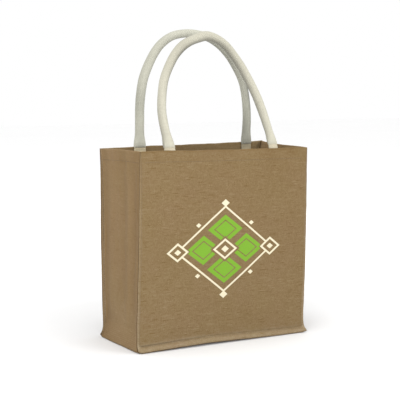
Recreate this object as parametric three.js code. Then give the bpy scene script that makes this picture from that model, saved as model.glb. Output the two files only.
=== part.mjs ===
// A jute tote bag that stands open: two panels sewn to one gusset strip, and two padded rope handles.
// Millimetres. X runs along the front, Y from front to back, Z up. The origin is the middle of the base.
import * as THREE from "three";

// The cloth and how it is sewn
const CLOTH = 1.6;
const SEWN_GAP = 0.3;
const LAYER = (CLOTH + SEWN_GAP) / 2;
const CORNER_LAYER = LAYER + 0.4;
const HEM_DEPTH = 26;
const HEM_THICKNESS = CLOTH + 1.8;
const HEM_STEP = 1.4;
const RIM_ROUND = 1.4;
const SEAM_CORNER_CUT = 1.5;

// The bottom strip: it lies flat on the floor and rises to the seams near its two long edges
const FOOT_REST = CLOTH / 2;
const FOOT_RISE = 22;
const CORNER_RISE = 9;
const FOLD_DROP = 9.6;
const FOLD_ROUND = 0.4;
const FOLD_TIGHTNESS = 6;
const FOLD_HEIGHT = 0.06;
const FOLD_WIDTH = 0.03;

// Where the cloth is divided: up the height, along the front and from front to back, each as a share
const PANEL_HEIGHT = 321;
const HEM_SHARE = 1 - HEM_DEPTH / PANEL_HEIGHT;
const STEP_SHARE = HEM_STEP / PANEL_HEIGHT;
const UP = [0, 0.012, 0.025, 0.05, 0.12, 0.22, 0.34, 0.46, 0.58, 0.7, 0.8, 0.87,
  HEM_SHARE - STEP_SHARE, HEM_SHARE, 0.965, 1 - RIM_ROUND / PANEL_HEIGHT, 1];
const ALONG = [0, 0.008, 0.03, 0.12, 0.22, 0.33, 0.44, 0.56, 0.67, 0.78, 0.88, 0.97, 0.992, 1];
const ACROSS = [0.05, 0.11, 0.18, 0.25, 0.32, 0.43, 0.57, 0.72, 0.82, 0.89, 0.95];

// The four upright seams. up is the share of the height, x and y the seam, and outX and outY how far the
// sewn edge stands out beyond it. ear is where the edge's lower corner stands, seen from the seam's corner.
const FRONT_LEFT = {
  foot: 10.2, rim: 331.6, ear: { x: -5.4, y: -4.8, z: -9 },
  rows: [
    { up: 0, x: -162.6, y: -75.4, outX: -4.6, outY: -2.2 },
    { up: 0.03, x: -162.8, y: -75.6, outX: -4.9, outY: -1.7 },
    { up: 0.14, x: -163.3, y: -75.8, outX: -5.1, outY: -0.9 },
    { up: 0.4, x: -161.2, y: -75.8, outX: -5.2, outY: 0 },
    { up: 0.58, x: -159.4, y: -75.8, outX: -5.2, outY: 0.6 },
    { up: 0.76, x: -158.5, y: -75.7, outX: -4.8, outY: 0.8 },
    { up: 0.9, x: -158.9, y: -75.5, outX: -3.6, outY: 0.6 },
    { up: 0.965, x: -159.9, y: -75.3, outX: -2, outY: 0.3 },
    { up: 1, x: -160.6, y: -75, outX: -0.9, outY: 0 },
  ],
};
const FRONT_RIGHT = {
  foot: 10, rim: 329.2, ear: { x: 9.4, y: -5.2, z: -9 },
  rows: [
    { up: 0, x: 156.6, y: -75, outX: 4.8, outY: -2.2 },
    { up: 0.03, x: 154.4, y: -75.5, outX: 4.8, outY: -1.8 },
    { up: 0.09, x: 154, y: -75.7, outX: 4.9, outY: -1.4 },
    { up: 0.32, x: 156.6, y: -75.8, outX: 5.2, outY: -0.3 },
    { up: 0.52, x: 157.9, y: -75.8, outX: 5.2, outY: 0.4 },
    { up: 0.71, x: 159, y: -75.7, outX: 5, outY: 0.8 },
    { up: 0.9, x: 160.4, y: -75.5, outX: 3.6, outY: 0.5 },
    { up: 0.965, x: 162.2, y: -75.3, outX: 2, outY: 0.2 },
    { up: 1, x: 163.6, y: -75, outX: 0.9, outY: 0 },
  ],
};
const BACK_LEFT = {
  foot: 7, rim: 328.2, ear: { x: -9.2, y: 1, z: -7.3 },
  rows: [
    { up: 0, x: -158.6, y: 74.6, outX: -4.6, outY: 1.2 },
    { up: 0.03, x: -156.5, y: 74.9, outX: -5, outY: 0.8 },
    { up: 0.14, x: -157, y: 75, outX: -5.2, outY: 0.3 },
    { up: 0.34, x: -158.1, y: 75, outX: -5.2, outY: -0.2 },
    { up: 0.53, x: -158.4, y: 75, outX: -5.2, outY: -0.6 },
    { up: 0.72, x: -158.5, y: 75, outX: -4.9, outY: -0.8 },
    { up: 0.9, x: -159.8, y: 74.9, outX: -3.8, outY: -0.5 },
    { up: 0.965, x: -161.5, y: 74.8, outX: -2.2, outY: -0.2 },
    { up: 1, x: -163.2, y: 74.6, outX: -0.9, outY: 0 },
  ],
};
const BACK_RIGHT = {
  foot: 10, rim: 331.8, ear: { x: 9.2, y: 2.6, z: -9.2 },
  rows: [
    { up: 0, x: 157.6, y: 74.6, outX: 4.6, outY: 1.4 },
    { up: 0.03, x: 155.6, y: 74.9, outX: 4.8, outY: 1 },
    { up: 0.14, x: 156, y: 75, outX: 5.2, outY: 0.5 },
    { up: 0.4, x: 157.3, y: 75, outX: 5.2, outY: 0 },
    { up: 0.58, x: 158.2, y: 75, outX: 5.1, outY: -0.6 },
    { up: 0.76, x: 159, y: 75, outX: 4.7, outY: -0.7 },
    { up: 0.9, x: 160.2, y: 74.9, outX: 3.6, outY: -0.5 },
    { up: 0.965, x: 162, y: 74.8, outX: 2.1, outY: -0.2 },
    { up: 1, x: 163.8, y: 74.6, outX: 0.9, outY: 0 },
  ],
};

// The two bottom seams: height of the seam, and how far the sewn edge kicks out and down from it
const FRONT_FOOT = [
  { along: 0, z: 10.2, out: 7.4, down: 9 },
  { along: 0.12, z: 11.2, out: 7, down: 9.9 },
  { along: 0.38, z: 13.9, out: 6, down: 10.6 },
  { along: 0.62, z: 12.8, out: 5.6, down: 10.2 },
  { along: 0.85, z: 11, out: 5.4, down: 9.2 },
  { along: 1, z: 10, out: 5.4, down: 8.4 },
];
const BACK_FOOT = [
  { along: 0, z: 7, out: 6.2, down: 5.6 },
  { along: 0.1, z: 10.6, out: 6.2, down: 8.8 },
  { along: 0.3, z: 12.2, out: 6, down: 10.2 },
  { along: 0.65, z: 13, out: 5.8, down: 10.6 },
  { along: 1, z: 10, out: 6.2, down: 8.4 },
];

// The two rims: height along the panel
const FRONT_RIM = [
  { along: 0, z: 331.6 }, { along: 0.4, z: 330.4 }, { along: 0.78, z: 330 }, { along: 1, z: 329.2 },
];
const BACK_RIM = [
  { along: 0, z: 328.2 }, { along: 0.16, z: 329.3 }, { along: 0.45, z: 329 }, { along: 0.65, z: 330.4 },
  { along: 1, z: 331.8 },
];

// How far each panel swells outwards between its seams
const SWELL_ALONG = { left: 0, midLeft: 0.25, middle: 0.5, midRight: 0.75, right: 1 };
const FRONT_SWELL = [
  { up: 0, left: 0, midLeft: 0, middle: 0, midRight: 0, right: 0 },
  { up: 0.12, left: 0, midLeft: 1.2, middle: 1.4, midRight: 1, right: 0 },
  { up: 0.35, left: 0, midLeft: 2.2, middle: 3, midRight: 2.4, right: 0 },
  { up: 0.65, left: 0, midLeft: 1.8, middle: 2.6, midRight: 1.6, right: 0 },
  { up: 0.92, left: 0, midLeft: 0.5, middle: 1, midRight: 0.4, right: 0 },
  { up: 1, left: 0, midLeft: 0.3, middle: 0.6, midRight: 0.2, right: 0 },
];
const BACK_SWELL = [
  { up: 0, left: 0, midLeft: 0, middle: 0, midRight: 0, right: 0 },
  { up: 0.12, left: 0, midLeft: 0.8, middle: 1.4, midRight: 1.2, right: 0 },
  { up: 0.4, left: 0, midLeft: 1.8, middle: 2.8, midRight: 2.4, right: 0 },
  { up: 0.7, left: 0, midLeft: 1.6, middle: 2, midRight: 1.8, right: 0 },
  { up: 0.92, left: 0, midLeft: 0.6, middle: 0.6, midRight: 0.8, right: 0 },
  { up: 1, left: 0, midLeft: 0.4, middle: 0.3, midRight: 0.6, right: 0 },
];

// The soft upright folds of each gusset side: how far each lies inside the straight line between the seams
const FOLD_ACROSS = {
  frontSeam: 0, frontEdge: 0.05, frontValley: 0.18, frontRidge: 0.32, crease: 0.43, backRidge: 0.72,
  backValley: 0.9, backEdge: 0.95, backSeam: 1,
};
const LEFT_FOLDS = [
  { up: 0, frontSeam: 0, frontEdge: -3.4, frontValley: -4.6, frontRidge: -5.4, crease: -6, backRidge: -8.6,
    backValley: -10.2, backEdge: -9.4, backSeam: 0 },
  { up: 0.08, frontSeam: 0, frontEdge: 0.8, frontValley: 1.8, frontRidge: 0.8, crease: 0.6, backRidge: -2.2,
    backValley: 0.4, backEdge: 0.3, backSeam: 0 },
  { up: 0.25, frontSeam: 0, frontEdge: 1.4, frontValley: 3, frontRidge: 1.4, crease: 2, backRidge: -0.8,
    backValley: 1.8, backEdge: 1.2, backSeam: 0 },
  { up: 0.5, frontSeam: 0, frontEdge: 1.6, frontValley: 3.2, frontRidge: 1.6, crease: 3.2, backRidge: -0.6,
    backValley: 2, backEdge: 1.4, backSeam: 0 },
  { up: 0.78, frontSeam: 0, frontEdge: 1, frontValley: 2, frontRidge: 1.2, crease: 2.8, backRidge: -0.4,
    backValley: 1.4, backEdge: 0.9, backSeam: 0 },
  { up: 1, frontSeam: 0, frontEdge: 0.3, frontValley: 0.6, frontRidge: 0.4, crease: 0.9, backRidge: 0,
    backValley: 0.4, backEdge: 0.2, backSeam: 0 },
];
const RIGHT_FOLDS = [
  { up: 0, frontSeam: 0, frontEdge: -7.2, frontValley: -7.8, frontRidge: -7, crease: -6.4, backRidge: -6.8,
    backValley: -7.6, backEdge: -7, backSeam: 0 },
  { up: 0.08, frontSeam: 0, frontEdge: 0.3, frontValley: 0.6, frontRidge: -0.6, crease: 0.8, backRidge: -1.4,
    backValley: 0.8, backEdge: 0.5, backSeam: 0 },
  { up: 0.25, frontSeam: 0, frontEdge: 1, frontValley: 2, frontRidge: 0.8, crease: 2.6, backRidge: 0.4,
    backValley: 2.2, backEdge: 1.4, backSeam: 0 },
  { up: 0.5, frontSeam: 0, frontEdge: 1.2, frontValley: 2.4, frontRidge: 1.6, crease: 4, backRidge: 1,
    backValley: 2.4, backEdge: 1.6, backSeam: 0 },
  { up: 0.78, frontSeam: 0, frontEdge: 0.9, frontValley: 1.8, frontRidge: 1.4, crease: 3, backRidge: 0.6,
    backValley: 1.4, backEdge: 0.9, backSeam: 0 },
  { up: 1, frontSeam: 0, frontEdge: 0.3, frontValley: 0.6, frontRidge: 0.6, crease: 1.2, backRidge: 0.2,
    backValley: 0.4, backEdge: 0.2, backSeam: 0 },
];

// The handles: the rope's thickness, the flat tongue each end is sewn on with, the top of the arch, and by
// height the place of the left and the right leg and how far front or back the handle leans there
const FRONT_HANDLE = {
  rope: 15.3,
  tongue: { length: 32.5, width: 17.6, depth: 3.5 },
  top: { x: -0.5, y: -9.4, z: 522.2 },
  rows: [
    { z: 303, left: -104.7, right: 96.7, y: -72.1 },
    { z: 331, left: -105.4, right: 96.2, y: -72.1 },
    { z: 346, left: -105.2, right: 96.2, y: -65 },
    { z: 372, left: -104.9, right: 95.6, y: -50.8 },
    { z: 397, left: -102.5, right: 93.3, y: -38.2 },
    { z: 422, left: -96.4, right: 87.9, y: -27.7 },
    { z: 447, left: -88, right: 78.5, y: -19 },
    { z: 472, left: -74.5, right: 65.6, y: -13 },
    { z: 492, left: -60.4, right: 50.7, y: -10.4 },
    { z: 507, left: -43, right: 36.2, y: -9.8 },
    { z: 517, left: -21.6, right: 19.8, y: -9.5 },
  ],
};
const BACK_HANDLE = {
  rope: 15.8,
  tongue: { length: 29.5, width: 19.4, depth: 3.5 },
  top: { x: 8, y: 71.7, z: 529.1 },
  rows: [
    { z: 302, left: -88.9, right: 130.6, y: 71.2 },
    { z: 331, left: -89.4, right: 130, y: 71.2 },
    { z: 350, left: -89.3, right: 130.5, y: 71.9 },
    { z: 372, left: -89.6, right: 131, y: 71 },
    { z: 397, left: -89.5, right: 129.8, y: 70.5 },
    { z: 422, left: -87.3, right: 126.4, y: 70.4 },
    { z: 447, left: -82.5, right: 119.6, y: 70.6 },
    { z: 472, left: -72.5, right: 106, y: 70.8 },
    { z: 492, left: -61.2, right: 91.4, y: 71.1 },
    { z: 507, left: -49.2, right: 75.6, y: 71.3 },
    { z: 518, left: -35.3, right: 58.8, y: 71.5 },
    { z: 525, left: -20.2, right: 40.6, y: 71.6 },
  ],
};
const HANDLE_SIDES = 12;
const HANDLE_RINGS = 42;
// How the flat tongue fills out into the round rope, by the distance past the tongue's end: the share of the
// way from the tongue's width and depth to the rope's, and how square the section still is
const FILLING = [
  { past: 0, width: 0, depth: 0, square: 4 },
  { past: 4, width: 0.2, depth: 0.44, square: 2.6 },
  { past: 11, width: 0.65, depth: 0.8, square: 2.1 },
  { past: 23, width: 1, depth: 1, square: 2 },
];

const FRONT = {
  left: FRONT_LEFT, right: FRONT_RIGHT, foot: FRONT_FOOT, rim: FRONT_RIM, swell: FRONT_SWELL, sign: -1,
};
const BACK = {
  left: BACK_LEFT, right: BACK_RIGHT, foot: BACK_FOOT, rim: BACK_RIM, swell: BACK_SWELL, sign: 1,
};
const RIM_ROW = UP.length - 1;
const LAST_ALONG = ALONG.length - 1;

const mix = (a, b, share) => a + (b - a) * share;

function smooth(value) {
  const share = Math.min(Math.max(value, 0), 1);
  return share * share * (3 - 2 * share);
}

// A smooth curve through (place, value) pairs in rising order
function curveThrough(places, values, at) {
  const last = places.length - 1;
  const place = Math.min(Math.max(at, places[0]), places[last]);
  let i = 0;
  while (i < last - 1 && place > places[i + 1]) i += 1;
  const slope = (k) => {
    const before = Math.max(k - 1, 0);
    const after = Math.min(k + 1, last);
    return (values[after] - values[before]) / (places[after] - places[before]);
  };
  const span = places[i + 1] - places[i];
  const t = (place - places[i]) / span;
  const start = values[i] + span * slope(i) * t * (1 - t);
  const end = values[i + 1] - span * slope(i + 1) * t * (1 - t);
  return mix(start, end, smooth(t));
}

function readTable(rows, key, at, column) {
  return curveThrough(rows.map((row) => row[key]), rows.map((row) => row[column]), at);
}

// A table whose columns are places too, such as the swell of a panel
function readGrid(rows, columns, up, at) {
  const names = Object.keys(columns);
  const values = names.map((name) => readTable(rows, "up", up, name));
  return curveThrough(names.map((name) => columns[name]), values, at);
}

function seamPoint(seam, up) {
  const x = readTable(seam.rows, "up", up, "x");
  const y = readTable(seam.rows, "up", up, "y");
  return new THREE.Vector3(x, y, mix(seam.foot, seam.rim, up));
}

// A place on a panel's own plane, before the cloth's thickness
function panelPoint(face, along, up) {
  const point = seamPoint(face.left, up).lerp(seamPoint(face.right, up), along);
  const foot = readTable(face.foot, "along", along, "z");
  const rim = readTable(face.rim, "along", along, "z");
  point.y += face.sign * (LAYER + readGrid(face.swell, SWELL_ALONG, up, along));
  point.z = mix(foot, rim, up);
  return point;
}

// The seam round a panel, from the left rim down, along the foot and up to the right rim. Each station has
// the seam's place, the way to the sewn edge, and the way from the seam to the panel's own layer.
function seamLine(face) {
  const upright = (seam, up) => ({
    at: seamPoint(seam, up),
    out: new THREE.Vector3(readTable(seam.rows, "up", up, "outX"), readTable(seam.rows, "up", up, "outY"), 0),
    layer: LAYER,
  });
  const corner = (seam, inwards) => ({
    at: seamPoint(seam, 0).add(new THREE.Vector3(inwards * SEAM_CORNER_CUT, 0, SEAM_CORNER_CUT)),
    out: new THREE.Vector3(seam.ear.x, seam.ear.y, seam.ear.z),
    layer: CORNER_LAYER,
  });
  const foot = (along) => {
    const at = seamPoint(face.left, 0).lerp(seamPoint(face.right, 0), along);
    at.z = readTable(face.foot, "along", along, "z");
    const out = readTable(face.foot, "along", along, "out");
    const down = readTable(face.foot, "along", along, "down");
    return { at, out: new THREE.Vector3(0, face.sign * out, -down), layer: LAYER };
  };
  const sides = UP.slice(1);
  const stations = [
    ...sides.toReversed().map((up) => upright(face.left, up)),
    corner(face.left, 1),
    ...ALONG.slice(1, -1).map(foot),
    corner(face.right, -1),
    ...sides.map((up) => upright(face.right, up)),
  ];
  stations.forEach((station, k) => {
    const before = stations[Math.max(k - 1, 0)].at;
    const after = stations[Math.min(k + 1, stations.length - 1)].at;
    const apart = station.out.clone().cross(after.clone().sub(before)).normalize();
    if (apart.y * face.sign < 0) apart.negate();
    station.apart = apart.multiplyScalar(station.layer);
  });
  return stations;
}

// A closed sheet over a grid of points. outer and inner give how far its two faces lie from the grid.
function thickSheet(grid, outer, inner) {
  const rows = grid.length;
  const columns = grid[0].length;
  const normal = (r, c) => {
    const down = grid[Math.min(r + 1, rows - 1)][c].clone().sub(grid[Math.max(r - 1, 0)][c]);
    const across = grid[r][Math.min(c + 1, columns - 1)].clone().sub(grid[r][Math.max(c - 1, 0)]);
    return down.cross(across).normalize();
  };
  const positions = [];
  const indices = [];
  const facesOf = [outer, (r, c) => -inner(r, c)];
  facesOf.forEach((offset) => {
    grid.forEach((row, r) => row.forEach((point, c) => {
      positions.push(...point.clone().addScaledVector(normal(r, c), offset(r, c)).toArray());
    }));
  });
  const outerAt = (r, c) => r * columns + c;
  const innerAt = (r, c) => rows * columns + outerAt(r, c);
  const quad = (a, b, c, d) => indices.push(a, b, c, a, c, d);
  for (let r = 0; r < rows - 1; r += 1) {
    for (let c = 0; c < columns - 1; c += 1) {
      quad(outerAt(r, c), outerAt(r + 1, c), outerAt(r + 1, c + 1), outerAt(r, c + 1));
      quad(innerAt(r, c), innerAt(r, c + 1), innerAt(r + 1, c + 1), innerAt(r + 1, c));
    }
  }
  for (let c = 0; c < columns - 1; c += 1) {
    quad(outerAt(0, c), outerAt(0, c + 1), innerAt(0, c + 1), innerAt(0, c));
    const end = rows - 1;
    quad(outerAt(end, c + 1), outerAt(end, c), innerAt(end, c), innerAt(end, c + 1));
  }
  for (let r = 0; r < rows - 1; r += 1) {
    quad(outerAt(r + 1, 0), outerAt(r, 0), innerAt(r, 0), innerAt(r + 1, 0));
    const end = columns - 1;
    quad(outerAt(r, end), outerAt(r + 1, end), innerAt(r + 1, end), innerAt(r, end));
  }
  const geometry = new THREE.BufferGeometry();
  geometry.setAttribute("position", new THREE.Float32BufferAttribute(positions, 3));
  geometry.setIndex(indices);
  return geometry;
}

// The cloth's half thickness, more inside the hem, and drawn in to a round fold at the rim
function outerDepth(up) {
  return up === 1 ? -CLOTH / 8 : CLOTH / 2;
}

function innerDepth(up, hemmed) {
  if (!hemmed || up < HEM_SHARE) return up === 1 ? CLOTH / 3 : CLOTH / 2;
  return up === 1 ? HEM_THICKNESS * 0.6 : HEM_THICKNESS - CLOTH / 2;
}

function panelGeometry(face) {
  const seam = seamLine(face);
  const tip = (k) => seam[k].at.clone().add(seam[k].out).add(seam[k].apart);
  const sewn = (k) => seam[k].at.clone().add(seam[k].apart);
  const between = (a, b) => tip(a).lerp(tip(b), 0.5);
  const leftCorner = RIM_ROW;
  const rightCorner = leftCorner + LAST_ALONG;
  const grid = [];
  for (let r = RIM_ROW; r > 0; r -= 1) {
    const inside = ALONG.slice(1, -1).map((along) => panelPoint(face, along, UP[r]));
    const left = leftCorner - r;
    const right = rightCorner + r;
    grid.push([tip(left), sewn(left), ...inside, sewn(right), tip(right)]);
  }
  const footSeam = ALONG.map((along, c) => sewn(leftCorner + c));
  const footTips = ALONG.map((along, c) => tip(leftCorner + c));
  footTips[0] = between(leftCorner, leftCorner + 1);
  footTips[LAST_ALONG] = between(rightCorner - 1, rightCorner);
  grid.push([between(leftCorner - 1, leftCorner), ...footSeam, between(rightCorner, rightCorner + 1)]);
  grid.push([tip(leftCorner), ...footTips, tip(rightCorner)]);
  if (face.sign > 0) grid.forEach((row) => row.reverse());
  const upOf = (r) => UP[Math.max(RIM_ROW - r, 0)];
  const hemmed = (c) => c > 2 && c < LAST_ALONG;
  return thickSheet(grid, (r, c) => outerDepth(upOf(r)), (r, c) => innerDepth(upOf(r), hemmed(c)));
}

// The stations of the gusset strip, from the left rim down, along the bottom and up to the right rim. edge is
// 1 on the upright sides and falls to 0 across the bottom.
function gussetStations() {
  const sides = UP.slice(1);
  const bottom = ALONG.map((along) => ({
    side: along < 0.5 ? -1 : 1,
    up: 0,
    edge: Math.max(1 - Math.min(along, 1 - along) / FOLD_WIDTH, 0),
  }));
  return [
    ...sides.toReversed().map((up) => ({ side: -1, up, edge: 1 })),
    ...bottom,
    ...sides.map((up) => ({ side: 1, up, edge: 1 })),
  ];
}

// A place on the gusset strip at one station, as a share of the way from the front seam to the back seam
function gussetPoint(front, back, across, station) {
  const point = front.at.clone().lerp(back.at, across);
  const fromSeam = Math.min(across, 1 - across) * front.at.distanceTo(back.at);
  const middle = smooth(fromSeam / mix(FOOT_RISE, CORNER_RISE, station.edge));
  const folds = station.side < 0 ? LEFT_FOLDS : RIGHT_FOLDS;
  const inwards = readGrid(folds, FOLD_ACROSS, station.up, across);
  point.x += station.side * (LAYER / 2 - inwards) * station.edge;
  if (station.up > 0) {
    point.z -= FOLD_DROP * (1 - smooth(station.up / FOLD_HEIGHT)) * middle;
  } else {
    const rest = FOOT_REST + FOLD_ROUND * station.edge ** FOLD_TIGHTNESS;
    point.z = mix(point.z - LAYER / 2, rest, middle);
  }
  return point;
}

function gussetGeometry() {
  const fronts = seamLine(FRONT);
  const backs = seamLine(BACK);
  const stations = gussetStations();
  const tip = (seam) => seam.at.clone().add(seam.out).sub(seam.apart);
  const sewn = (seam) => seam.at.clone().sub(seam.apart);
  const grid = stations.map((station, k) => {
    const inside = ACROSS.map((across) => gussetPoint(fronts[k], backs[k], across, station));
    return [tip(fronts[k]), sewn(fronts[k]), ...inside, sewn(backs[k]), tip(backs[k])].reverse();
  });
  const hemmed = (c) => c > 1 && c < ACROSS.length + 2;
  const upOf = (r) => stations[r].up;
  return thickSheet(grid, (r, c) => outerDepth(upOf(r)), (r, c) => innerDepth(upOf(r), hemmed(c)));
}

// The middle line of a handle, up its left leg, over the top and down its right leg
function handleLine(handle) {
  const left = handle.rows.map((row) => new THREE.Vector3(row.left, row.y, row.z));
  const right = handle.rows.map((row) => new THREE.Vector3(row.right, row.y, row.z));
  const top = new THREE.Vector3(handle.top.x, handle.top.y, handle.top.z);
  return new THREE.CatmullRomCurve3([...left, top, ...right.reverse()], false, "centripetal");
}

// One ring of the handle: a rounded oblong where it is sewn flat, a circle along the rope
function handleRing(handle, line, share, length) {
  const at = line.getPointAt(share);
  const along = line.getTangentAt(share);
  const past = Math.min(share, 1 - share) * length - handle.tongue.length;
  const half = (side) => mix(handle.tongue[side], handle.rope, readTable(FILLING, "past", past, side)) / 2;
  const power = 2 / readTable(FILLING, "past", past, "square");
  const deep = new THREE.Vector3(0, 1, 0);
  deep.addScaledVector(along, -deep.dot(along)).normalize();
  const wide = along.clone().cross(deep);
  return Array.from({ length: HANDLE_SIDES }, (unused, k) => {
    const angle = (2 * Math.PI * (k + 0.5)) / HANDLE_SIDES;
    const reach = (value) => Math.sign(value) * Math.abs(value) ** power;
    return at.clone()
      .addScaledVector(wide, half("width") * reach(Math.cos(angle)))
      .addScaledVector(deep, half("depth") * reach(Math.sin(angle)));
  });
}

function handleGeometry(handle) {
  const line = handleLine(handle);
  const length = line.getLength();
  const ends = [0, ...FILLING.map((row) => (handle.tongue.length + row.past) / length)];
  const rope = ends.at(-1);
  const middle = Array.from({ length: HANDLE_RINGS }, (unused, k) => {
    return mix(rope, 1 - rope, (k + 1) / (HANDLE_RINGS + 1));
  });
  const shares = [...ends, ...middle, ...ends.toReversed().map((share) => 1 - share)];
  const rings = shares.map((share) => handleRing(handle, line, share, length));
  const positions = rings.flat().flatMap((point) => point.toArray());
  const indices = [];
  const at = (r, k) => r * HANDLE_SIDES + (k % HANDLE_SIDES);
  for (let r = 0; r < rings.length - 1; r += 1) {
    for (let k = 0; k < HANDLE_SIDES; k += 1) {
      indices.push(at(r, k), at(r + 1, k), at(r + 1, k + 1), at(r, k), at(r + 1, k + 1), at(r, k + 1));
    }
  }
  for (let k = 1; k < HANDLE_SIDES - 1; k += 1) {
    indices.push(at(0, 0), at(0, k), at(0, k + 1));
    indices.push(at(rings.length - 1, 0), at(rings.length - 1, k + 1), at(rings.length - 1, k));
  }
  const geometry = new THREE.BufferGeometry();
  geometry.setAttribute("position", new THREE.Float32BufferAttribute(positions, 3));
  geometry.setIndex(indices);
  return geometry;
}

const jute = () => new THREE.MeshStandardMaterial({ color: "#967e5d", roughness: 0.9, metalness: 0 });
const cotton = () => new THREE.MeshStandardMaterial({ color: "#dcd9cc", roughness: 0.85, metalness: 0 });

function piece(name, geometry, material) {
  const mesh = new THREE.Mesh(geometry, material);
  mesh.name = name;
  return mesh;
}

const bag = new THREE.Group();
bag.name = "jute_tote_bag";
bag.add(piece("front_panel", panelGeometry(FRONT), jute()));
bag.add(piece("back_panel", panelGeometry(BACK), jute()));
bag.add(piece("gusset", gussetGeometry(), jute()));
bag.add(piece("front_handle", handleGeometry(FRONT_HANDLE), cotton()));
bag.add(piece("back_handle", handleGeometry(BACK_HANDLE), cotton()));

export default bag;
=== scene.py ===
"""A jute tote bag that stands open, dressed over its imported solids.

Tables are in millimetres, in the solids' own frame: X along the front, Y from front to back, Z up.
"""
import math

import bpy
import numpy as np
from mathutils import Matrix, Vector


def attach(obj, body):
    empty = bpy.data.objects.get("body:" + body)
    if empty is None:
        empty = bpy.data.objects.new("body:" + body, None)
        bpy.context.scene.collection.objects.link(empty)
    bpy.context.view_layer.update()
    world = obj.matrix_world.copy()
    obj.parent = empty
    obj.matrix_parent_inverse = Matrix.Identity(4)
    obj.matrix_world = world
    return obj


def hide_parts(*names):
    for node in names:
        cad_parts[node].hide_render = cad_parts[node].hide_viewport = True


MM = 0.001

# The cloth and how it is sewn. The allowances are those of the flat cloth at its upright edges and along
# the foot
CLOTH = 1.6
SEWN_GAP = 0.3
LAYER = (CLOTH + SEWN_GAP) / 2
CORNER_LAYER = LAYER + 0.4
SEAM_CORNER_CUT = 1.5
SIDE_ALLOWANCE, FOOT_ALLOWANCE = 5, 11
PANEL_HEIGHT, PANEL_WIDTH, SIDE_DEPTH = 321, 320, 151

# The hem: its turned edge steps up over a short way, presses a shallow dip into the cloth just above, and
# thins out towards the seams (start and width as shares). A fold's face ends a little short of a full
# half round
HEM_DEPTH = 26
HEM_THICKNESS = CLOTH + 1.8
HEM_STEP = 1.4
HEM_SHARE = 1 - HEM_DEPTH / PANEL_HEIGHT
STEP_SHARE = HEM_STEP / PANEL_HEIGHT
HEM_DIP, HEM_DIP_UP, HEM_DIP_WIDTH = 0.22, 3, 1.6
PANEL_HEM_START, PANEL_HEM_EASE, GUSSET_HEM_EASE = 0.008, 0.022, 0.05
FOLD_END = 0.22
STITCH_DEPTH = HEM_DEPTH - 7

# The bottom strip: it lies flat on the floor and rises to the seams near its two long edges
FOOT_REST = CLOTH / 2
FOOT_RISE = 22
CORNER_RISE = 5.5
FOLD_DROP = 9.6
FOLD_ROUND = 0.4
FOLD_TIGHTNESS = 6
FOLD_HEIGHT = 0.06
FOLD_WIDTH = 0.03
FOLD_SLOPE = 0.3
GUSSET_SEAM_EASE = 0.04

# Soft hills in the cloth: height, and their size across and up
PANEL_HILLS = (0.45, 150, 130)
SIDE_HILLS, SMALL_SIDE_HILLS = (0.7, 46, 150), (0.35, 19, 80)
# Puckers that run in from a row of stitches: height, their spacing along it, and how far they reach
SIDE_PUCKERS, FOOT_PUCKERS, HEM_PUCKERS = (0.3, 17, 9), (0.3, 15, 8), (0.22, 19, 9)
GUSSET_PUCKERS, GUSSET_PUCKER_HIGH = (0.35, 16, 8), 20
PUCKER_START = 2.4
# Waves of the rims, and of the width and the lean of the sewn edges: size and length
RIM_WAVE, EDGE_WAVE, EDGE_LEAN = (0.35, 70), (0.02, 43), (0.22, 47)
# Over how many millimetres all of this grows calm: beside the seams, above the foot, and below the rim
# with the share that is left there. The rims' own shape begins at a height and grows over some way
EDGE_CALM, HILL_CALM, SIDE_CALM, RIM_WAVE_CALM = 40, 40, 14, 12
PANEL_RIM_CALM, SIDE_RIM_CALM = (6, 0.25), (10, 0.2)
RIM_WAVE_RISE, SIDE_RIM_RISE = (300, 20), (200, 100)
LEFT_SEED, RIGHT_SEED = 71, 83

# The four upright seams: share of the height, place, and how far the sewn edge stands out beyond the seam.
# ear is where the edge's lower corner stands, seen from the seam's corner.
FRONT_LEFT = {
    "foot": 10.2, "rim": 332.2, "ear": (-5.6, -4, -9),
    "rows": [
        (0, -165.1, -75.4, -5.2, -1.8), (0.03, -165.1, -75.6, -5.4, -1.3), (0.14, -164.4, -75.8, -5.3, -0.7),
        (0.4, -161.2, -75.8, -5.2, 0), (0.58, -159.4, -75.8, -5.2, 0.6), (0.76, -158.5, -75.7, -4.8, 0.8),
        (0.9, -158.9, -75.5, -3.6, 0.6), (0.965, -159.9, -75.3, -2, 0.3), (1, -160.6, -75, -0.9, 0),
    ],
}
FRONT_RIGHT = {
    "foot": 10, "rim": 329.4, "ear": (9.4, -5.2, -9),
    "rows": [
        (0, 156.6, -75, 4.8, -2.2), (0.03, 154.4, -75.5, 4.8, -1.8), (0.09, 154, -75.7, 4.9, -1.4),
        (0.32, 156.6, -75.8, 5.2, -0.3), (0.52, 157.9, -75.8, 5.2, 0.4), (0.71, 159, -75.7, 5, 0.8),
        (0.9, 160.4, -75.5, 3.6, 0.5), (0.965, 162.2, -75.3, 2, 0.2), (1, 163.6, -75, 0.9, 0),
    ],
}
BACK_LEFT = {
    "foot": 7, "rim": 329.2, "ear": (-9.2, 1, -7.3),
    "rows": [
        (0, -158.6, 74.6, -4.6, 1.2), (0.03, -156.5, 74.9, -4.4, 0.8), (0.14, -157, 75, -4.7, 0.3),
        (0.34, -158.1, 75, -4.5, -0.2), (0.53, -158.4, 75, -5, -0.6), (0.72, -158.5, 75, -4.4, -0.8),
        (0.9, -159.8, 74.9, -3.2, -0.5), (0.965, -161.5, 74.8, -2.2, -0.2), (1, -163.2, 74.6, -0.9, 0),
    ],
}
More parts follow.
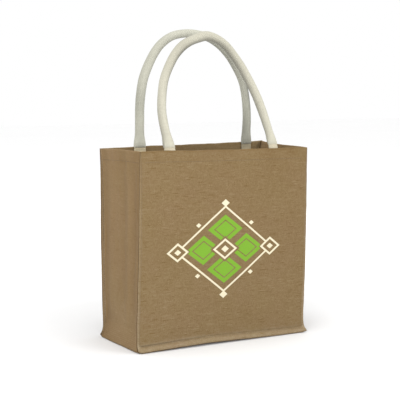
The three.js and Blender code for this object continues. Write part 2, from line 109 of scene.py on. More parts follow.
BACK_RIGHT = {
    "foot": 10, "rim": 334, "ear": (9.2, 2.6, -9.2),
    "rows": [
        (0, 157.6, 74.6, 4.6, 1.4), (0.03, 155.6, 74.9, 4.8, 1), (0.14, 156, 75, 5.2, 0.5),
        (0.4, 157.3, 75, 5.2, 0), (0.58, 158.2, 75, 5.1, -0.6), (0.76, 159, 75, 4.7, -0.7),
        (0.9, 161.2, 74.9, 3.2, -0.5), (0.965, 163.6, 74.8, 1.6, -0.2), (1, 165.8, 74.6, 0.5, 0),
    ],
}

# The two bottom seams: share of the width, height of the seam, and how far the sewn edge kicks out and
# down from it
FRONT_FOOT = [
    (0, 10.2, 7.4, 9), (0.05, 10.6, 7.2, 8.8), (0.12, 11.2, 7, 8.8), (0.38, 13.9, 6, 9.8),
    (0.56, 13.1, 5.7, 9.9), (0.72, 12, 5.5, 10.2), (0.85, 11, 5.4, 9.9), (1, 10, 5.4, 8.9),
]
BACK_FOOT = [
    (0, 7, 6.2, 5.6), (0.1, 10.6, 6.2, 8.8), (0.3, 12.2, 6, 10.2), (0.65, 13, 5.8, 10.6),
    (1, 10, 6.2, 8.4),
]

# The two rims: share of the width, and height
FRONT_RIM = [
    (0, 332.2), (0.06, 332.9), (0.13, 332.7), (0.24, 331.5), (0.38, 331.1), (0.5, 330.5), (0.78, 330.1),
    (0.92, 329.9), (1, 329.4),
]
BACK_RIM = [
    (0, 329.2), (0.09, 329.5), (0.19, 330.4), (0.31, 331), (0.5, 330.9), (0.62, 331.5), (0.75, 331.8),
    (0.86, 332.5), (0.94, 333.3), (1, 334),
]

# How far the rims of the two gusset sides, left and right, stand above the line between their seams'
# rims, by the share of the depth
SIDE_RIM = [
    (0, 0, 0), (0.15, 0.2, -0.1), (0.3, 0.6, -0.7), (0.46, 0.8, -1.5), (0.6, 0.6, -1.9), (0.8, 0.1, -1.6),
    (0.93, 0, -1.1), (1, 0, 0),
]

# How far each panel swells outwards between its seams, by height and by place along the panel
SWELL_ALONG = (0, 0.25, 0.5, 0.75, 1)
FRONT_SWELL = [
    (0, 0, 0, 0, 0, 0), (0.12, 0, 1.2, 1.4, 1, 0), (0.35, 0, 2.2, 3, 2.4, 0),
    (0.65, 0, 1.8, 2.6, 1.6, 0), (0.92, 0, 0.5, 1, 0.4, 0), (1, 0, 0.3, 0.6, 0.2, 0),
]
BACK_SWELL = [
    (0, 0, 0, 0, 0, 0), (0.12, 0, 0.8, 1.4, 1.2, 0), (0.4, 0, 1.8, 2.8, 2.4, 0),
    (0.7, 0, 1.6, 2, 1.8, 0), (0.92, 0, 0.6, 0.6, 0.8, 0), (1, 0, 0.4, 0.3, 0.6, 0),
]

# The soft upright folds of each gusset side: how far each lies inside the straight line between the seams,
# from the front seam to the back seam
FOLD_ACROSS = (0, 0.05, 0.12, 0.17, 0.23, 0.29, 0.34, 0.39, 0.46, 0.6, 0.78, 0.88, 0.95, 1)
LEFT_FOLDS = [
    (0, 0, -3.6, -4.2, -4.6, -5.2, -5.7, -6.2, -6.5, -7.1, -8.7, -10.2, -10.6, -9.8, 0),
    (0.04, 0, -0.6, -0.3, -0.3, -0.6, -1.1, -1.6, -2, -2.7, -4.4, -5.5, -4.8, -3.3, 0),
    (0.08, 0, 0.6, 1.8, 2.4, 2.4, 1.8, 1.1, 0.7, 0.2, -1.2, -1.7, -0.5, 1, 0),
    (0.25, 0, 0.6, 1.3, 2.9, 3.1, 2.1, 1.2, 1.6, 2.6, 1.2, -0.6, 0.4, 1.4, 0),
    (0.5, 0, 0.6, 1.2, 2.9, 3.2, 2.1, 1.1, 1.7, 3.3, 2.2, 0, 0.8, 1.6, 0),
    (0.78, 0, 0.5, 1, 2.2, 2.5, 1.5, 0.5, 1.3, 2.8, 1.8, -0.2, 0.6, 1.2, 0),
    (1, 0, 0.2, 0.4, 0.7, 0.8, 0.5, 0.2, 0.4, 0.8, 0.5, 0, 0.2, 0.5, 0),
]
RIGHT_FOLDS = [
    (0, 0, -7.2, -7.5, -7.8, -7.2, -6.9, -6.5, -6.4, -6.4, -6.7, -7, -7.5, -7, 0),
    (0.08, 0, 0.3, 0.5, 0.6, -0.4, 0, 0.7, 0.8, 0.2, -1.2, -0.9, 0.6, 0.5, 0),
    (0.25, 0, 0.7, 1.3, 2.2, 1.2, 1, 2.2, 2.8, 2, 0.6, 0.8, 2.1, 1.4, 0),
    (0.5, 0, 0.8, 1.6, 2.7, 1.9, 1.9, 3.4, 4.1, 3, 1.2, 1.2, 2.4, 1.6, 0),
    (0.78, 0, 0.6, 1.2, 2, 1.4, 1.4, 2.6, 3.2, 2.2, 0.9, 0.7, 1.6, 1, 0),
    (1, 0, 0.2, 0.4, 0.6, 0.6, 0.8, 1.1, 1.2, 0.8, 0.4, 0.2, 0.4, 0.3, 0),
]
# Painted light (above 0) and painted shade (below 0) over the folds' cloth, in the same columns
LEFT_FOLD_SHADING = [
    (0, 0.6, 0.8, 0.4, 0.4, 0.5, 0.5, 0.6, 0.7, 0.7, 0.6, 0.2, -0.6, -0.8, -0.2),
    (0.06, 0.8, 1, 0.4, 0.4, 0.6, 0.8, 1, 1.1, 1.2, 1, 0.1, -0.9, -0.9, 0.2),
    (0.15, 0.6, 0.6, 0.1, 0.1, 0.5, 0.8, 1, 1.1, 1.2, 1.1, 0.7, -0.3, -0.1, 1),
    (0.25, 0.4, 0.4, -0.1, -0.6, -0.2, 0.4, 0.5, 0.1, 0.1, 0.6, 0.7, -0.2, 0, 1),
    (0.5, 0.2, -0.2, -0.6, -0.9, -0.3, 0.3, 0.4, -0.2, -0.2, 0.4, 0.5, -0.3, 0, 1),
    (0.78, 0, -0.6, -0.7, -0.8, -0.2, 0.3, 0.4, -0.3, -0.3, 0.3, 0.4, -0.3, 0, 0.9),
    (1, 0, -0.4, -0.5, -0.2, 0, 0.2, 0.2, -0.3, -0.2, 0.2, 0.5, -0.3, -0.2, 0.3),
]
RIGHT_FOLD_SHADING = [
    (0, 0, -0.4, -0.4, -0.2, 0, 0, 0, 0, 0, 0, 0, -0.4, -0.6, -0.3),
    (0.08, 0, -0.6, -0.9, -0.5, 0.1, 0, -0.2, -0.2, 0, 0.2, 0, -0.8, -1, -0.5),
    (0.5, 0, -0.7, -0.9, -0.5, 0.3, 0.1, -0.4, -0.4, 0.1, 0.3, 0, -0.5, -0.6, -0.2),
    (1, 0, -0.4, -0.4, -0.2, 0.1, 0, -0.2, -0.2, 0, 0.1, 0.1, -0.2, -0.3, 0),
]
# Painted highlight on the seam allowances, where they turn out and catch the light: along the sides of
# the panels by height, along their foot, on the gusset and at the cut edge. The two eases below are where
# the highlight starts and over how many millimetres it grows
SIDE_EDGE_HIGHLIGHT = [
    (0, 2.6), (0.13, 2.7), (0.21, 2.2), (0.33, 1.7), (0.45, 1.4), (0.7, 1.3), (0.81, 0.9), (0.95, 0.3),
    (1, 0.2),
]
FOOT_EDGE_HIGHLIGHT, GUSSET_EDGE_HIGHLIGHT, CUT_EDGE_HIGHLIGHT = 1.8, 0.9, 1.2
EDGE_HIGHLIGHT_EASE, CUT_HIGHLIGHT_EASE = (0, 1.6), (3.2, 1.8)
# Painted light that lifts the shade in the sharp corner beside the seam allowances, outside: along the
# foot, and by height beside the front and the back seams
FOOT_ROOT_LIGHT = [(0, 3.4), (0.3, 3.4), (0.5, 2.2), (1, 2)]
FOOT_ROOT_HIGH, FOOT_ROOT_WIDE = 1.5, 3.2
FRONT_ROOT_LIGHT = [(0, 6), (0.06, 5), (0.15, 3.6), (0.5, 2.6), (1, 2.2)]
BACK_ROOT_LIGHT = 7.5
FRONT_ROOT_WIDE, BACK_ROOT_WIDE = 2.2, 2.5
# In the bag's inner corners: a dark line of painted shade, and paler cloth beside it as painted light
CORNER_LINE, CORNER_LINE_WIDE, CORNER_PALE, CORNER_PALE_WIDE = -8, 1.1, 1.2, 16
# Painted light and shade over the panels: paler at their lower left corner, and how much less of it is left
# at the top and at the right
PANEL_SHADING, PANEL_SHADING_UP, PANEL_SHADING_RIGHT = 0.15, 0.4, 0.25
# At the rims: how much darker the panels and paler the gusset, how deep the stretch is and over how many
# millimetres it starts
RIM_DARKENING, SIDE_RIM_PALENESS = 1, 0.3
RIM_STRETCH, RIM_EASE = 5, 4
# Soft darker patches on the front, and on the gusset's left side: middle across and up, half width, half
# height, strength. The front's large patch at its upper right is painted shade, and the gusset's strongest
# one, low by its back seam, is a painted shadow in the notch there
FRONT_SMUDGES_AND_SHADE = [
    (-102, 311, 9, 4, 0.4), (-65, 306, 20, 6, 0.4), (8, 315, 13, 4, 0.4), (86, 311, 14, 9, 0.75),
    (133, 313, 15, 7, 0.75), (-64, 42, 12, 9, 0.35), (45, 40, 14, 12, 0.35), (112, 282, 34, 28, 0.35),
]
LEFT_SMUDGES_AND_SHADE = [(146, 7, 5, 5, 7), (4, 309, 3, 4, 1.2), (86, 92, 7, 14, 0.35), (120, 30, 14, 18, 0.3)]
# Small dents in the gusset: side, place across and up as shares, depth, half sizes across and up, and slant
DENTS = [
    (-1, 0.93, 0.925, 0.9, 8, 3, 0.25), (-1, 0.4, 0.925, 1.1, 5, 9, -0.3),
    (-1, 0.5, 0.19, 0.9, 11, 3.5, -0.9), (-1, 0.66, 0.62, 0.5, 9, 26, 0.1), (1, 0.3, 0.9, 1, 6, 10, 0.3),
    (1, 0.62, 0.22, 0.9, 12, 4, 0.7),
]

# The handles. rows: height, place of the left and the right leg there, and how far front or back both
# lean. girth is the rope's thickness along the handle, as a share of rope. The table after girth is painted
# light (above 0) and painted shade (below 0) along the canvas, the number after dust darkens the underside
# as painted shade, the last table is painted shade (above 0) and light on the sides that face left and right,
# also standing for the front handle's shadow on the back one's right leg, and dust is how dusty with jute
# the tongues are
FRONT_HANDLE = {
    "rope": 15.3, "dust": 0.5, "underside_shade": 3.4, "seed": 3,
    "tongue": {"length": 32.5, "left": 20.6, "right": 17.8, "depth": 3.5},
    "top": (-0.5, -9.4, 521.8),
    "rows": [
        (303, -104.7, 96.7, -72.1), (331, -105.4, 96.2, -72.1), (346, -105.2, 96.2, -65),
        (372, -104.9, 95.6, -50.8), (397, -102.5, 93.3, -38.2), (422, -96.4, 87.9, -27.7),
        (447, -88, 78.5, -19), (472, -74.5, 65.6, -13), (492, -60.4, 50.7, -10.4),
        (507, -43.8, 36.2, -9.8), (517, -21.6, 19.8, -9.5),
    ],
    "girth": [
        (0, 1.02), (0.2, 0.99), (0.35, 1.03), (0.41, 1.09), (0.46, 1.05), (0.495, 1.12), (0.54, 0.98),
        (0.6, 0.97), (0.7, 1), (0.82, 1), (0.9, 0.9), (1, 0.96),
    ],
    "wear_and_painted_shading": [(0, 0.2), (0.2, -0.1), (0.3, -0.8), (0.4, -1.5), (0.46, -0.8), (0.6, -0.6), (0.8, -0.1), (1, 0)],
    "side_shade": [
        (0, 1.7, -0.2), (0.18, 1.5, 0.1), (0.22, 0.8, 0.4), (0.27, -0.3, 1.2), (0.33, -0.6, 1.5),
        (0.4, -0.9, 3.4), (0.45, 0.3, 1.2), (0.55, 0.9, 0), (0.65, 1.3, -0.3), (1, 1.1, -0.4),
    ],
}
BACK_HANDLE = {
    "rope": 15.8, "dust": 1, "underside_shade": 0.9, "seed": 8,
    "tongue": {"length": 26, "left": 22.6, "right": 20.2, "depth": 3.5},
    "top": (8, 71.7, 529.1),
    "rows": [
        (302, -88.9, 130.6, 71.2), (331, -89.4, 130, 71.2), (350, -89.3, 130.5, 71.9),
        (372, -89.6, 131, 71), (397, -89.5, 129.8, 70.5), (422, -87.3, 126.4, 70.4),
        (447, -82.5, 119.6, 70.6), (472, -72.5, 106, 70.8), (492, -61.2, 91.4, 71.1),
        (507, -49.2, 75.6, 71.3), (518, -35.3, 58.8, 71.5), (525, -20.2, 40.6, 71.6),
    ],
    "girth": [
        (0, 1.04), (0.15, 1.03), (0.28, 1.06), (0.45, 0.94), (0.6, 0.94), (0.7, 0.96), (0.78, 0.92),
        (0.88, 0.98), (1, 1.06),
    ],
    "wear_and_painted_shading": [
        (0, 3.6), (0.045, 3.4), (0.06, 3), (0.08, 1.9), (0.1, 1.7), (0.13, 0.95), (0.165, -0.4),
        (0.2, -0.7), (0.24, 0.1), (0.3, 0.3), (0.5, -0.1), (0.65, -0.5), (0.71, -1.3), (0.77, -2.2),
        (0.85, -1.7), (0.94, -1.5), (1, 1),
    ],
    "side_shade": [
        (0, 1, -0.9), (0.15, 1.1, -0.9), (0.2, 1.3, -0.5), (0.6, 1.3, -0.4), (0.7, -0.7, 3.2),
        (0.75, -2.3, 5.4), (0.8, -2.3, 5), (0.84, -0.8, 3.6), (0.88, 0.7, 2), (0.92, 1, -0.2),
        (1, 1.3, -0.4),
    ],
}
# How the flat tongue fills out into the round rope, by the distance past the tongue's end: the share of the
# way from the tongue's width and depth to the rope's, and how square the section still is
FILLING = [
    (0, 0, 0, 4), (3, 0.03, 0.42, 3), (8, 0.1, 0.74, 2.5), (14, 0.4, 0.92, 2.2), (20, 0.75, 1, 2),
    (28, 1, 1, 2),
]
FILLED = 23
# Where the rope ends a row of stitches pinches the canvas over this length, in width and depth, and
# creases run out of it: their number, depth and reach, and how they twist. The rope is lumpy, and the
# tube is closed along its far side by a low ridge
PINCH_LENGTH, PINCH_WIDTH, PINCH_DEPTH = 1.5, 0.035, 0.2
CREASES, CREASE_DEPTH, CREASE_REACH, CREASE_TWIST, CREASE_START = 5, 0.05, 9, 0.12, 1.3
LUMP_HEIGHT, LUMP_LENGTH = 0.012, 34
RIDGE_HEIGHT, RIDGE_WIDTH = 0.055, 0.16
# The rings of a handle's mesh: from its end, past the tongue's end, and how many on the tongue and on the
# rope
END_RINGS = (0, 0.15, 0.5, 1.1)
NECK_RINGS = (-2.2, -1.5, -0.8, 0, 0.8, 1.6, 2.6, 4, 5.5, 7.2, 9, 11, 13.5, 16, 19, 22)
TONGUE_START, TONGUE_STOP, ROPE_START = 2.2, 3, 24.5
TONGUE_RINGS, ROPE_RINGS = 14, 190
HANDLE_SIDES, HANDLE_ROUND = 36, 49
END_ROUND, END_DEPTH, END_WIDTH = 1.1, 0.2, 0.92
# Steps of its line between two rows, and how far ahead and behind its way is taken
LINE_STEPS, LOOK_AHEAD = 60, 0.8
DUST_START, DUST_EASE = -0.5, 3

FRONT = {
    "left": FRONT_LEFT, "right": FRONT_RIGHT, "foot": FRONT_FOOT, "rim": FRONT_RIM, "swell": FRONT_SWELL,
    "smudges_and_shade": FRONT_SMUDGES_AND_SHADE, "sign": -1, "edge_seed": 11, "seed": 41,
}
BACK = {
    "left": BACK_LEFT, "right": BACK_RIGHT, "foot": BACK_FOOT, "rim": BACK_RIM, "swell": BACK_SWELL,
    "smudges_and_shade": [], "sign": 1, "edge_seed": 29, "seed": 57,
}

# Rows of stitches: from one to the next, the share of it that the thread shows, and the thread's radius
SEAM_STITCHES = {"pitch": 4.2, "share": 0.74, "radius": 0.4, "seed": 101}
HEM_STITCHES = {"pitch": 4.2, "share": 0.74, "radius": 0.36, "seed": 301}
TONGUE_STITCHES = {"pitch": 3, "share": 0.76, "radius": 0.32, "seed": 501}
# A stitch's middle line and thickness, from one needle hole to the next: share of the length, height, radius
STITCH_SHAPE = ((0, -0.35, 0.55), (0.12, 0.35, 0.85), (0.5, 0.7, 1), (0.88, 0.35, 0.85), (1, -0.35, 0.55))
STITCH_SIDES, STITCH_UNEVEN, STITCH_SWAY = 6, 0.06, 0.5
# Where the stitches lie: on the seam allowance as a share of its width, sunk into the hem, and on the
# tongues in a box inside its margin and in rows past its end
SEAM_STITCH_PLACE, HEM_STITCH_SUNK = 0.24, 0.2
BOX_MARGIN, TONGUE_ROWS, ROW_STEPS = 2.6, (0.6, -2.2), 24

# The photograph's camera
CAMERA = {
    "turn": 29.414, "tilt": 6.242, "distance": 2.0084, "right": -0.00703, "up": 0.23648,
    "lens": 101.961, "sensor": 36,
}
# The floor's tone by distance from the middle: darker near the bag, which deepens its shadows there as
# painted shade, and paler far off
FLOOR_NEAR_SHADE, FLOOR_FAR, FLOOR_SPECK = (0.35, 0.7), (0.95, 0.98), 0.02
FLOOR_HALF = 8000
LIGHTS = (
    {"name": "right_front", "place": (1.3, -2.2, 1.0), "target": (0, 0, 0.25), "size": 1.2, "power": 22},
    {"name": "left_front", "place": (-1.75, -2.05, 1.0), "target": (0, 0, 0.25), "size": 1.2, "power": 36},
    {"name": "top", "place": (-0.2, -0.4, 2.3), "target": (0, 0, 0.3), "size": 1.5, "power": 26},
)


def mix(a, b, share):
    return a + (b - a) * share


def smooth(value):
    share = np.clip(value, 0, 1)
    return share * share * (3 - 2 * share)


def rise(value, start, width):
    return smooth((value - start) / width)


def hill(distance, size):
    """1 at no distance, and nearly 0 from twice the size on."""
    return np.exp(-(distance / size) ** 2)


def unit(ways):
    return ways / np.linalg.norm(ways, axis=-1, keepdims=True)


def distances(line):
    """How far each point of a line lies along it."""
    return np.concatenate([[0], np.cumsum(np.linalg.norm(np.diff(line, axis=0), axis=1))])


def on_line(line, length, at):
    return np.stack([np.interp(at, length, line[:, k]) for k in range(3)], axis=-1)


def pairs(a, b):
    return np.stack(np.broadcast_arrays(a, b), axis=-1)


def curve_through(places, values, at):
    """A smooth curve through (place, value) pairs in rising order. values may hold one column or several."""
    at = np.clip(np.atleast_1d(np.asarray(at, float)), places[0], places[-1])
    last = len(places) - 1
    i = np.clip(np.searchsorted(places, at, side="left") - 1, 0, last - 1)
    before = np.maximum(np.arange(last + 1) - 1, 0)
    after = np.minimum(np.arange(last + 1) + 1, last)
    slope = ((values[after] - values[before]).T / (places[after] - places[before])).T
    span = places[i + 1] - places[i]
    t = (at - places[i]) / span
    turn = span * t * (1 - t)
    if values.ndim > 1:
        t, turn = t[:, None], turn[:, None]
    start = values[i] + turn * slope[i]
    end = values[i + 1] - turn * slope[i + 1]
    return mix(start, end, smooth(t))


def read_table(rows, at):
    """Every further column of a table, read at places in its first column."""
    data = np.array(rows, float)
    return curve_through(data[:, 0], data[:, 1:], at).T


def read_pairs(rows, at):
    return read_table(rows, at)[0]


def read_grid(rows, columns, ups, ats):
    """A table whose columns are places too, such as the swell of a panel: one row of results per height."""
    return np.array([curve_through(np.array(columns), values, ats) for values in read_table(rows, ups).T])


def wave(at, seed, rough=0.55):
    """An uneven wave about 0, the same each time, whose waves are 1 long and shorter."""
    phases = np.random.RandomState(seed).uniform(0, 1, (5, 2))
    total = 0
    for k, (phase, stretch) in enumerate(phases):
        total = total + rough ** k * np.sin(2 * np.pi * (at * 1.83 ** k * (0.8 + 0.4 * stretch) + phase))
    return total * 0.6


def ripple(a, b, seed):
    """Uneven hills about 0 over a surface, with hills 1 long."""
    turns = np.random.RandomState(seed).uniform(0, 1, (7, 3))
    total = 0
    for k, (angle, phase, stretch) in enumerate(turns):
        way = 2 * np.pi * angle
        length = 1 + 0.35 * k * (0.6 + stretch)
        turn = (a * np.cos(way) + b * np.sin(way)) * length + phase
        total = total + np.sin(2 * np.pi * turn) / (1 + 0.5 * k)
    return total * 0.4


def rim_calm(high, width, least):
    return smooth((PANEL_HEIGHT - high) / width + least)


def hills(across, high, seed, height, wide, tall):
    return height * ripple(across / wide, high / tall, seed)


def puckers(run, from_seam, seed, height, spacing, reach):
    """Short puckers that run in from a stitched edge, by the way along it and the distance from it."""
    return height * wave(run / spacing, seed) * np.exp(-from_seam / reach) * smooth(from_seam / PUCKER_START)


def between_stations(coarse, spacing):
    """The stations of coarse with more put between them, about spacing apart."""
    fine = [coarse[0]]
    for a, b in zip(coarse, coarse[1:]):
        count = max(int(round((b - a) / spacing)), 1)
        fine.extend(a + (b - a) * (k + 1) / count for k in range(count))
    return fine


# The rows and columns of the cloth's meshes, closer at edges and folds: shares of the height, of the
# width of a panel, of the depth of the gusset between its seams, and of a seam allowance
RIM_HEIGHTS = (4, 2.8, 1.9, 1.2, 0.7, 0.35, 0.12, 0)
HEM_STEPS = (-2.4, -1.4, -1, -0.5, 0, 0.7)
UP = (
    [0, 0.0035, 0.012, 0.018]
    + between_stations([0.025, 0.12, HEM_SHARE - 4 * STEP_SHARE], 0.0085)
    + [HEM_SHARE + step * STEP_SHARE for step in HEM_STEPS]
    + between_stations([HEM_SHARE + 2 * STEP_SHARE, 1 - 5 / PANEL_HEIGHT], 0.0075)
    + [1 - height / PANEL_HEIGHT for height in RIM_HEIGHTS]
)
ALONG = [0, 0.008, 0.014, 0.021] + between_stations([0.03, 0.97], 0.0088) + [0.979, 0.986, 0.992, 1]
ACROSS = np.array(between_stations([0.006, 0.05, 0.95, 0.994], 0.0125))
FLANGE = (0.3, 0.65, 1.0)
# A seam's line runs from the left rim down, along the foot and up to the right rim. These are its lower
# corners
LEFT_CORNER = len(UP) - 1
RIGHT_CORNER = LEFT_CORNER + len(ALONG) - 1
# The gusset's stations on that line: its side, share of the height, and how much the side's folds still count
STATIONS = (
    [(-1, up, 1) for up in reversed(UP[1:])]
    + [(-1 if a < 0.5 else 1, 0, max(1 - min(a, 1 - a) / FOLD_WIDTH, 0)) for a in ALONG]
    + [(1, up, 1) for up in UP[1:]]
)


def quads(a, b, c, d):
    """Four-sided faces from four matching arrays of corners."""
    return np.stack([a, b, c, d], axis=-1).reshape(-1, 4)


def tube_faces(index):
    """Faces round tubes and over both their ends. index holds the points by tube, ring and side."""
    following = np.roll(index, -1, axis=2)
    faces = quads(index[:, :-1], index[:, 1:], following[:, 1:], following[:, :-1]).tolist()
    return faces + index[:, 0].tolist() + index[:, -1, ::-1].tolist()


def rings(centre, wide_way, deep_way, wide, deep):
    """Points round a line, by how far each lies in the line's two cross directions."""
    return centre[:, None] + wide_way[:, None] * wide[..., None] + deep_way[:, None] * deep[..., None]


def new_piece(name, points, faces):
    """A smooth mesh from points in millimetres."""
    mesh = bpy.data.meshes.new(name)
    mesh.from_pydata((points.reshape(-1, 3) * MM).tolist(), [], faces, shade_flat=False)
    piece = bpy.data.objects.new(name, mesh)
    bpy.context.collection.objects.link(piece)
    return piece


def set_mark(piece, name, values):
    """A number at each point that the materials read."""
    mark = piece.data.attributes.new(name, "FLOAT", "POINT")
    mark.data.foreach_set("value", values.reshape(-1).astype(np.float32))


def set_cloth_places(piece, places):
    """The cloth's own places, in millimetres, at each corner of each face."""
    layer = piece.data.uv_layers.new(name="cloth")
    layer.data.foreach_set("uv", (places * MM).astype(np.float32).reshape(-1))


def read_seam(seam, ups):
    """Places on an upright seam, and the way from there to the sewn edge."""
    x, y, out_x, out_y = read_table(seam["rows"], ups)
    z = mix(seam["foot"], seam["rim"], np.atleast_1d(ups))
    return np.stack([x, y, z], axis=-1), np.stack([out_x, out_y, 0 * z], axis=-1)


def seam_line(face):
    """The seam round a panel, from the left rim down, along the foot and up to the right rim: its places,
    those of the sewn edge, and the way from the seam to the panel's own layer."""
    middles = np.array(ALONG[1:-1])

    def side(seam, inwards):
        at, out = read_seam(seam, UP)
        at[0] += (inwards * SEAM_CORNER_CUT, 0, SEAM_CORNER_CUT)
        out[0] = seam["ear"]
        return at, out

    left, right = (read_seam(face[name], 0)[0] for name in ("left", "right"))
    z, out, down = read_table(face["foot"], middles)
    foot_at = mix(left, right, middles[:, None])
    foot_at[:, 2] = z
    foot_out = np.stack([0 * z, face["sign"] * out, -down], axis=-1)
    left_at, left_out = side(face["left"], 1)
    right_at, right_out = side(face["right"], -1)
    at = np.concatenate([left_at[::-1], foot_at, right_at])
    out = np.concatenate([left_out[::-1], foot_out, right_out])

    layer = np.full(len(at), LAYER)
    layer[[LEFT_CORNER, RIGHT_CORNER]] = CORNER_LAYER
    apart = unit(np.cross(out, np.gradient(at, axis=0)))
    apart[apart[:, 1] * face["sign"] < 0] *= -1
    # The cut edge is never quite straight, and both layers lean together between the stitches
    length = distances(at)
    calm = np.clip(np.minimum(length, length[-1] - length) / EDGE_CALM, 0, 1)
    out *= (1 + EDGE_WAVE[0] * wave(length / EDGE_WAVE[1], face["edge_seed"]) * calm)[:, None]
    lean = EDGE_LEAN[0] * wave(length / EDGE_LEAN[1], face["edge_seed"] + 1) * calm
    lean[[LEFT_CORNER, RIGHT_CORNER]] = 0
    tip = at + out + apart * lean[:, None]
    return {"at": at, "tip": tip, "apart": apart * layer[:, None], "length": length}


def with_flanges(start, start_tip, inside, end, end_tip):
    """Rows of places from one sewn edge to its seam, over the inside, and from the other seam to its edge."""
    before = [mix(start, start_tip, share) for share in FLANGE[::-1]] + [start]
    after = [end] + [mix(end, end_tip, share) for share in FLANGE]
    return np.concatenate([np.stack(before, axis=1), inside, np.stack(after, axis=1)], axis=1)


def over_flanges(shares, width):
    """Distances across the flat cloth, with the seam allowances on both sides."""
    edge = np.array(FLANGE) * SIDE_ALLOWANCE
    return np.concatenate([-edge[::-1], shares * width, width + edge])


def rim_depth(height, inner_part, thick):
    """How far the face lies from the sheet's middle layer at a height below the rim, round at the fold."""
    radius = thick / 2
    drop = np.clip(radius - height, 0, radius)
    half = np.sqrt(np.maximum(radius ** 2 - drop ** 2, (FOLD_END * radius) ** 2))
    centre = (thick - CLOTH) / 2
    return half + centre if inner_part else half - centre


def face_depths(ups, hem):
    """How far the outer and the inner face lie from the layer, by height share and the hem's weight."""
    height = (1 - ups) * PANEL_HEIGHT
    in_hem = smooth((ups - (HEM_SHARE - STEP_SHARE)) / STEP_SHARE)
    thick = CLOTH + (HEM_THICKNESS - CLOTH) * in_hem * hem
    below = height > HEM_THICKNESS / 2
    outer = np.where(below, CLOTH / 2, rim_depth(height, False, thick))
    inner = np.where(below, thick - CLOTH / 2, rim_depth(height, True, thick))
    dip = HEM_DIP * hill(height - (HEM_DEPTH - HEM_DIP_UP), HEM_DIP_WIDTH) * hem
    return outer - dip, inner - dip


def edge_highlight(beyond, level):
    """Painted highlight on the seam allowance, by the distance outside the seam: most at its cut edge."""
    return level * rise(beyond, *EDGE_HIGHLIGHT_EASE) + CUT_EDGE_HIGHLIGHT * rise(beyond, *CUT_HIGHLIGHT_EASE)


# A painted dark line of shade along the inner corners, and painted light beside it
def inner_corner_shading(from_seam):
    return CORNER_LINE * hill(from_seam, CORNER_LINE_WIDE) + CORNER_PALE * hill(from_seam, CORNER_PALE_WIDE)


def near_rim(high):
    return rise(high, PANEL_HEIGHT - RIM_STRETCH, RIM_EASE)


# Soft darker patches: smudges, and painted shade where the tables hold it
def smudges_and_shade(patches, across, high):
    total = 0
    for x, z, wide, tall, strength in patches:
        total = total + strength * hill(across - x, wide) * hill(high - z, tall)
    return total


def make_sheet(name, grid, across, along, ups, hem, from_seam, wear_and_painted_shading):
    """A closed sheet over a grid of places. Each row has a place along the cloth and a share of the height,
    and each column a place across the cloth, the hem's weight and the distance from the seam."""
    normal = unit(np.cross(np.gradient(grid, axis=0), np.gradient(grid, axis=1)))
    outer, inner = (depth[..., None] for depth in face_depths(ups[:, None], hem))
    count = wear_and_painted_shading.size
    first = np.arange(count).reshape(wear_and_painted_shading.shape)
    second = first + count
    border = np.concatenate([first[0, :-1], first[:-1, -1], first[-1, :0:-1], first[:0:-1, 0]])
    following = np.roll(border, -1)
    faces = np.concatenate([
        quads(first[:-1, :-1], first[1:, :-1], first[1:, 1:], first[:-1, 1:]),
        quads(second[:-1, :-1], second[:-1, 1:], second[1:, 1:], second[1:, :-1]),
        quads(border, following, following + count, border + count),
    ])
    piece = new_piece(name, np.concatenate([grid + normal * outer, grid - normal * inner]), faces.tolist())
    # The inner faces below the hem show the cloth's other side, which is the second material
    lining = (ups < HEM_SHARE)[:-1, None] & (hem > 0)[:-1]
    sides = np.zeros(len(faces), np.int32)
    sides[lining.size:2 * lining.size] = lining.reshape(-1)
    piece.data.polygons.foreach_set("material_index", sides)
    places = pairs(across, along[:, None]).reshape(-1, 2)
    set_cloth_places(piece, places[faces.reshape(-1) % count])
    # The outer faces take the sheet's painted light and shade, and the inner ones the painted shading of the
    # inner corners
    set_mark(piece, "wear_and_painted_shading", np.stack([wear_and_painted_shading, np.broadcast_to(inner_corner_shading(from_seam), wear_and_painted_shading.shape)]))
    return piece


def panel_inside(face, ups, alongs):
    """Places on a panel between its seams, one row for each height, before the cloth's thickness."""
    left, right = (read_seam(face[side], ups)[0][:, None] for side in ("left", "right"))
    points = mix(left, right, alongs[:, None])
    foot, rim = read_table(face["foot"], alongs)[0], read_pairs(face["rim"], alongs)
    swell = read_grid(face["swell"], SWELL_ALONG, ups, alongs)
    ups, seed = ups[:, None], face["seed"]
    across, high = alongs * PANEL_WIDTH, ups * PANEL_HEIGHT
    from_side = np.minimum(across, PANEL_WIDTH - across)
    # Soft unevenness over the panel, and short puckers that run in from the stitched edges
    uneven = hills(across, high, seed, *PANEL_HILLS) * smooth(np.minimum(from_side, high) / HILL_CALM)
    uneven += puckers(high, from_side, seed + 3, *SIDE_PUCKERS)
    uneven += puckers(across, high, seed + 5, *FOOT_PUCKERS)
    height, spacing, reach = HEM_PUCKERS
    uneven += height * wave(across / spacing, seed + 7) * hill(high - HEM_SHARE * PANEL_HEIGHT, reach)
    points[..., 1] += face["sign"] * (LAYER + swell + uneven * rim_calm(high, *PANEL_RIM_CALM))
    height, spacing = RIM_WAVE
    rim_wave = height * wave(across / spacing, seed + 9) * smooth(from_side / RIM_WAVE_CALM)
    points[..., 2] = mix(foot, rim, ups) + rim_wave * rise(high, *RIM_WAVE_RISE)
    return points


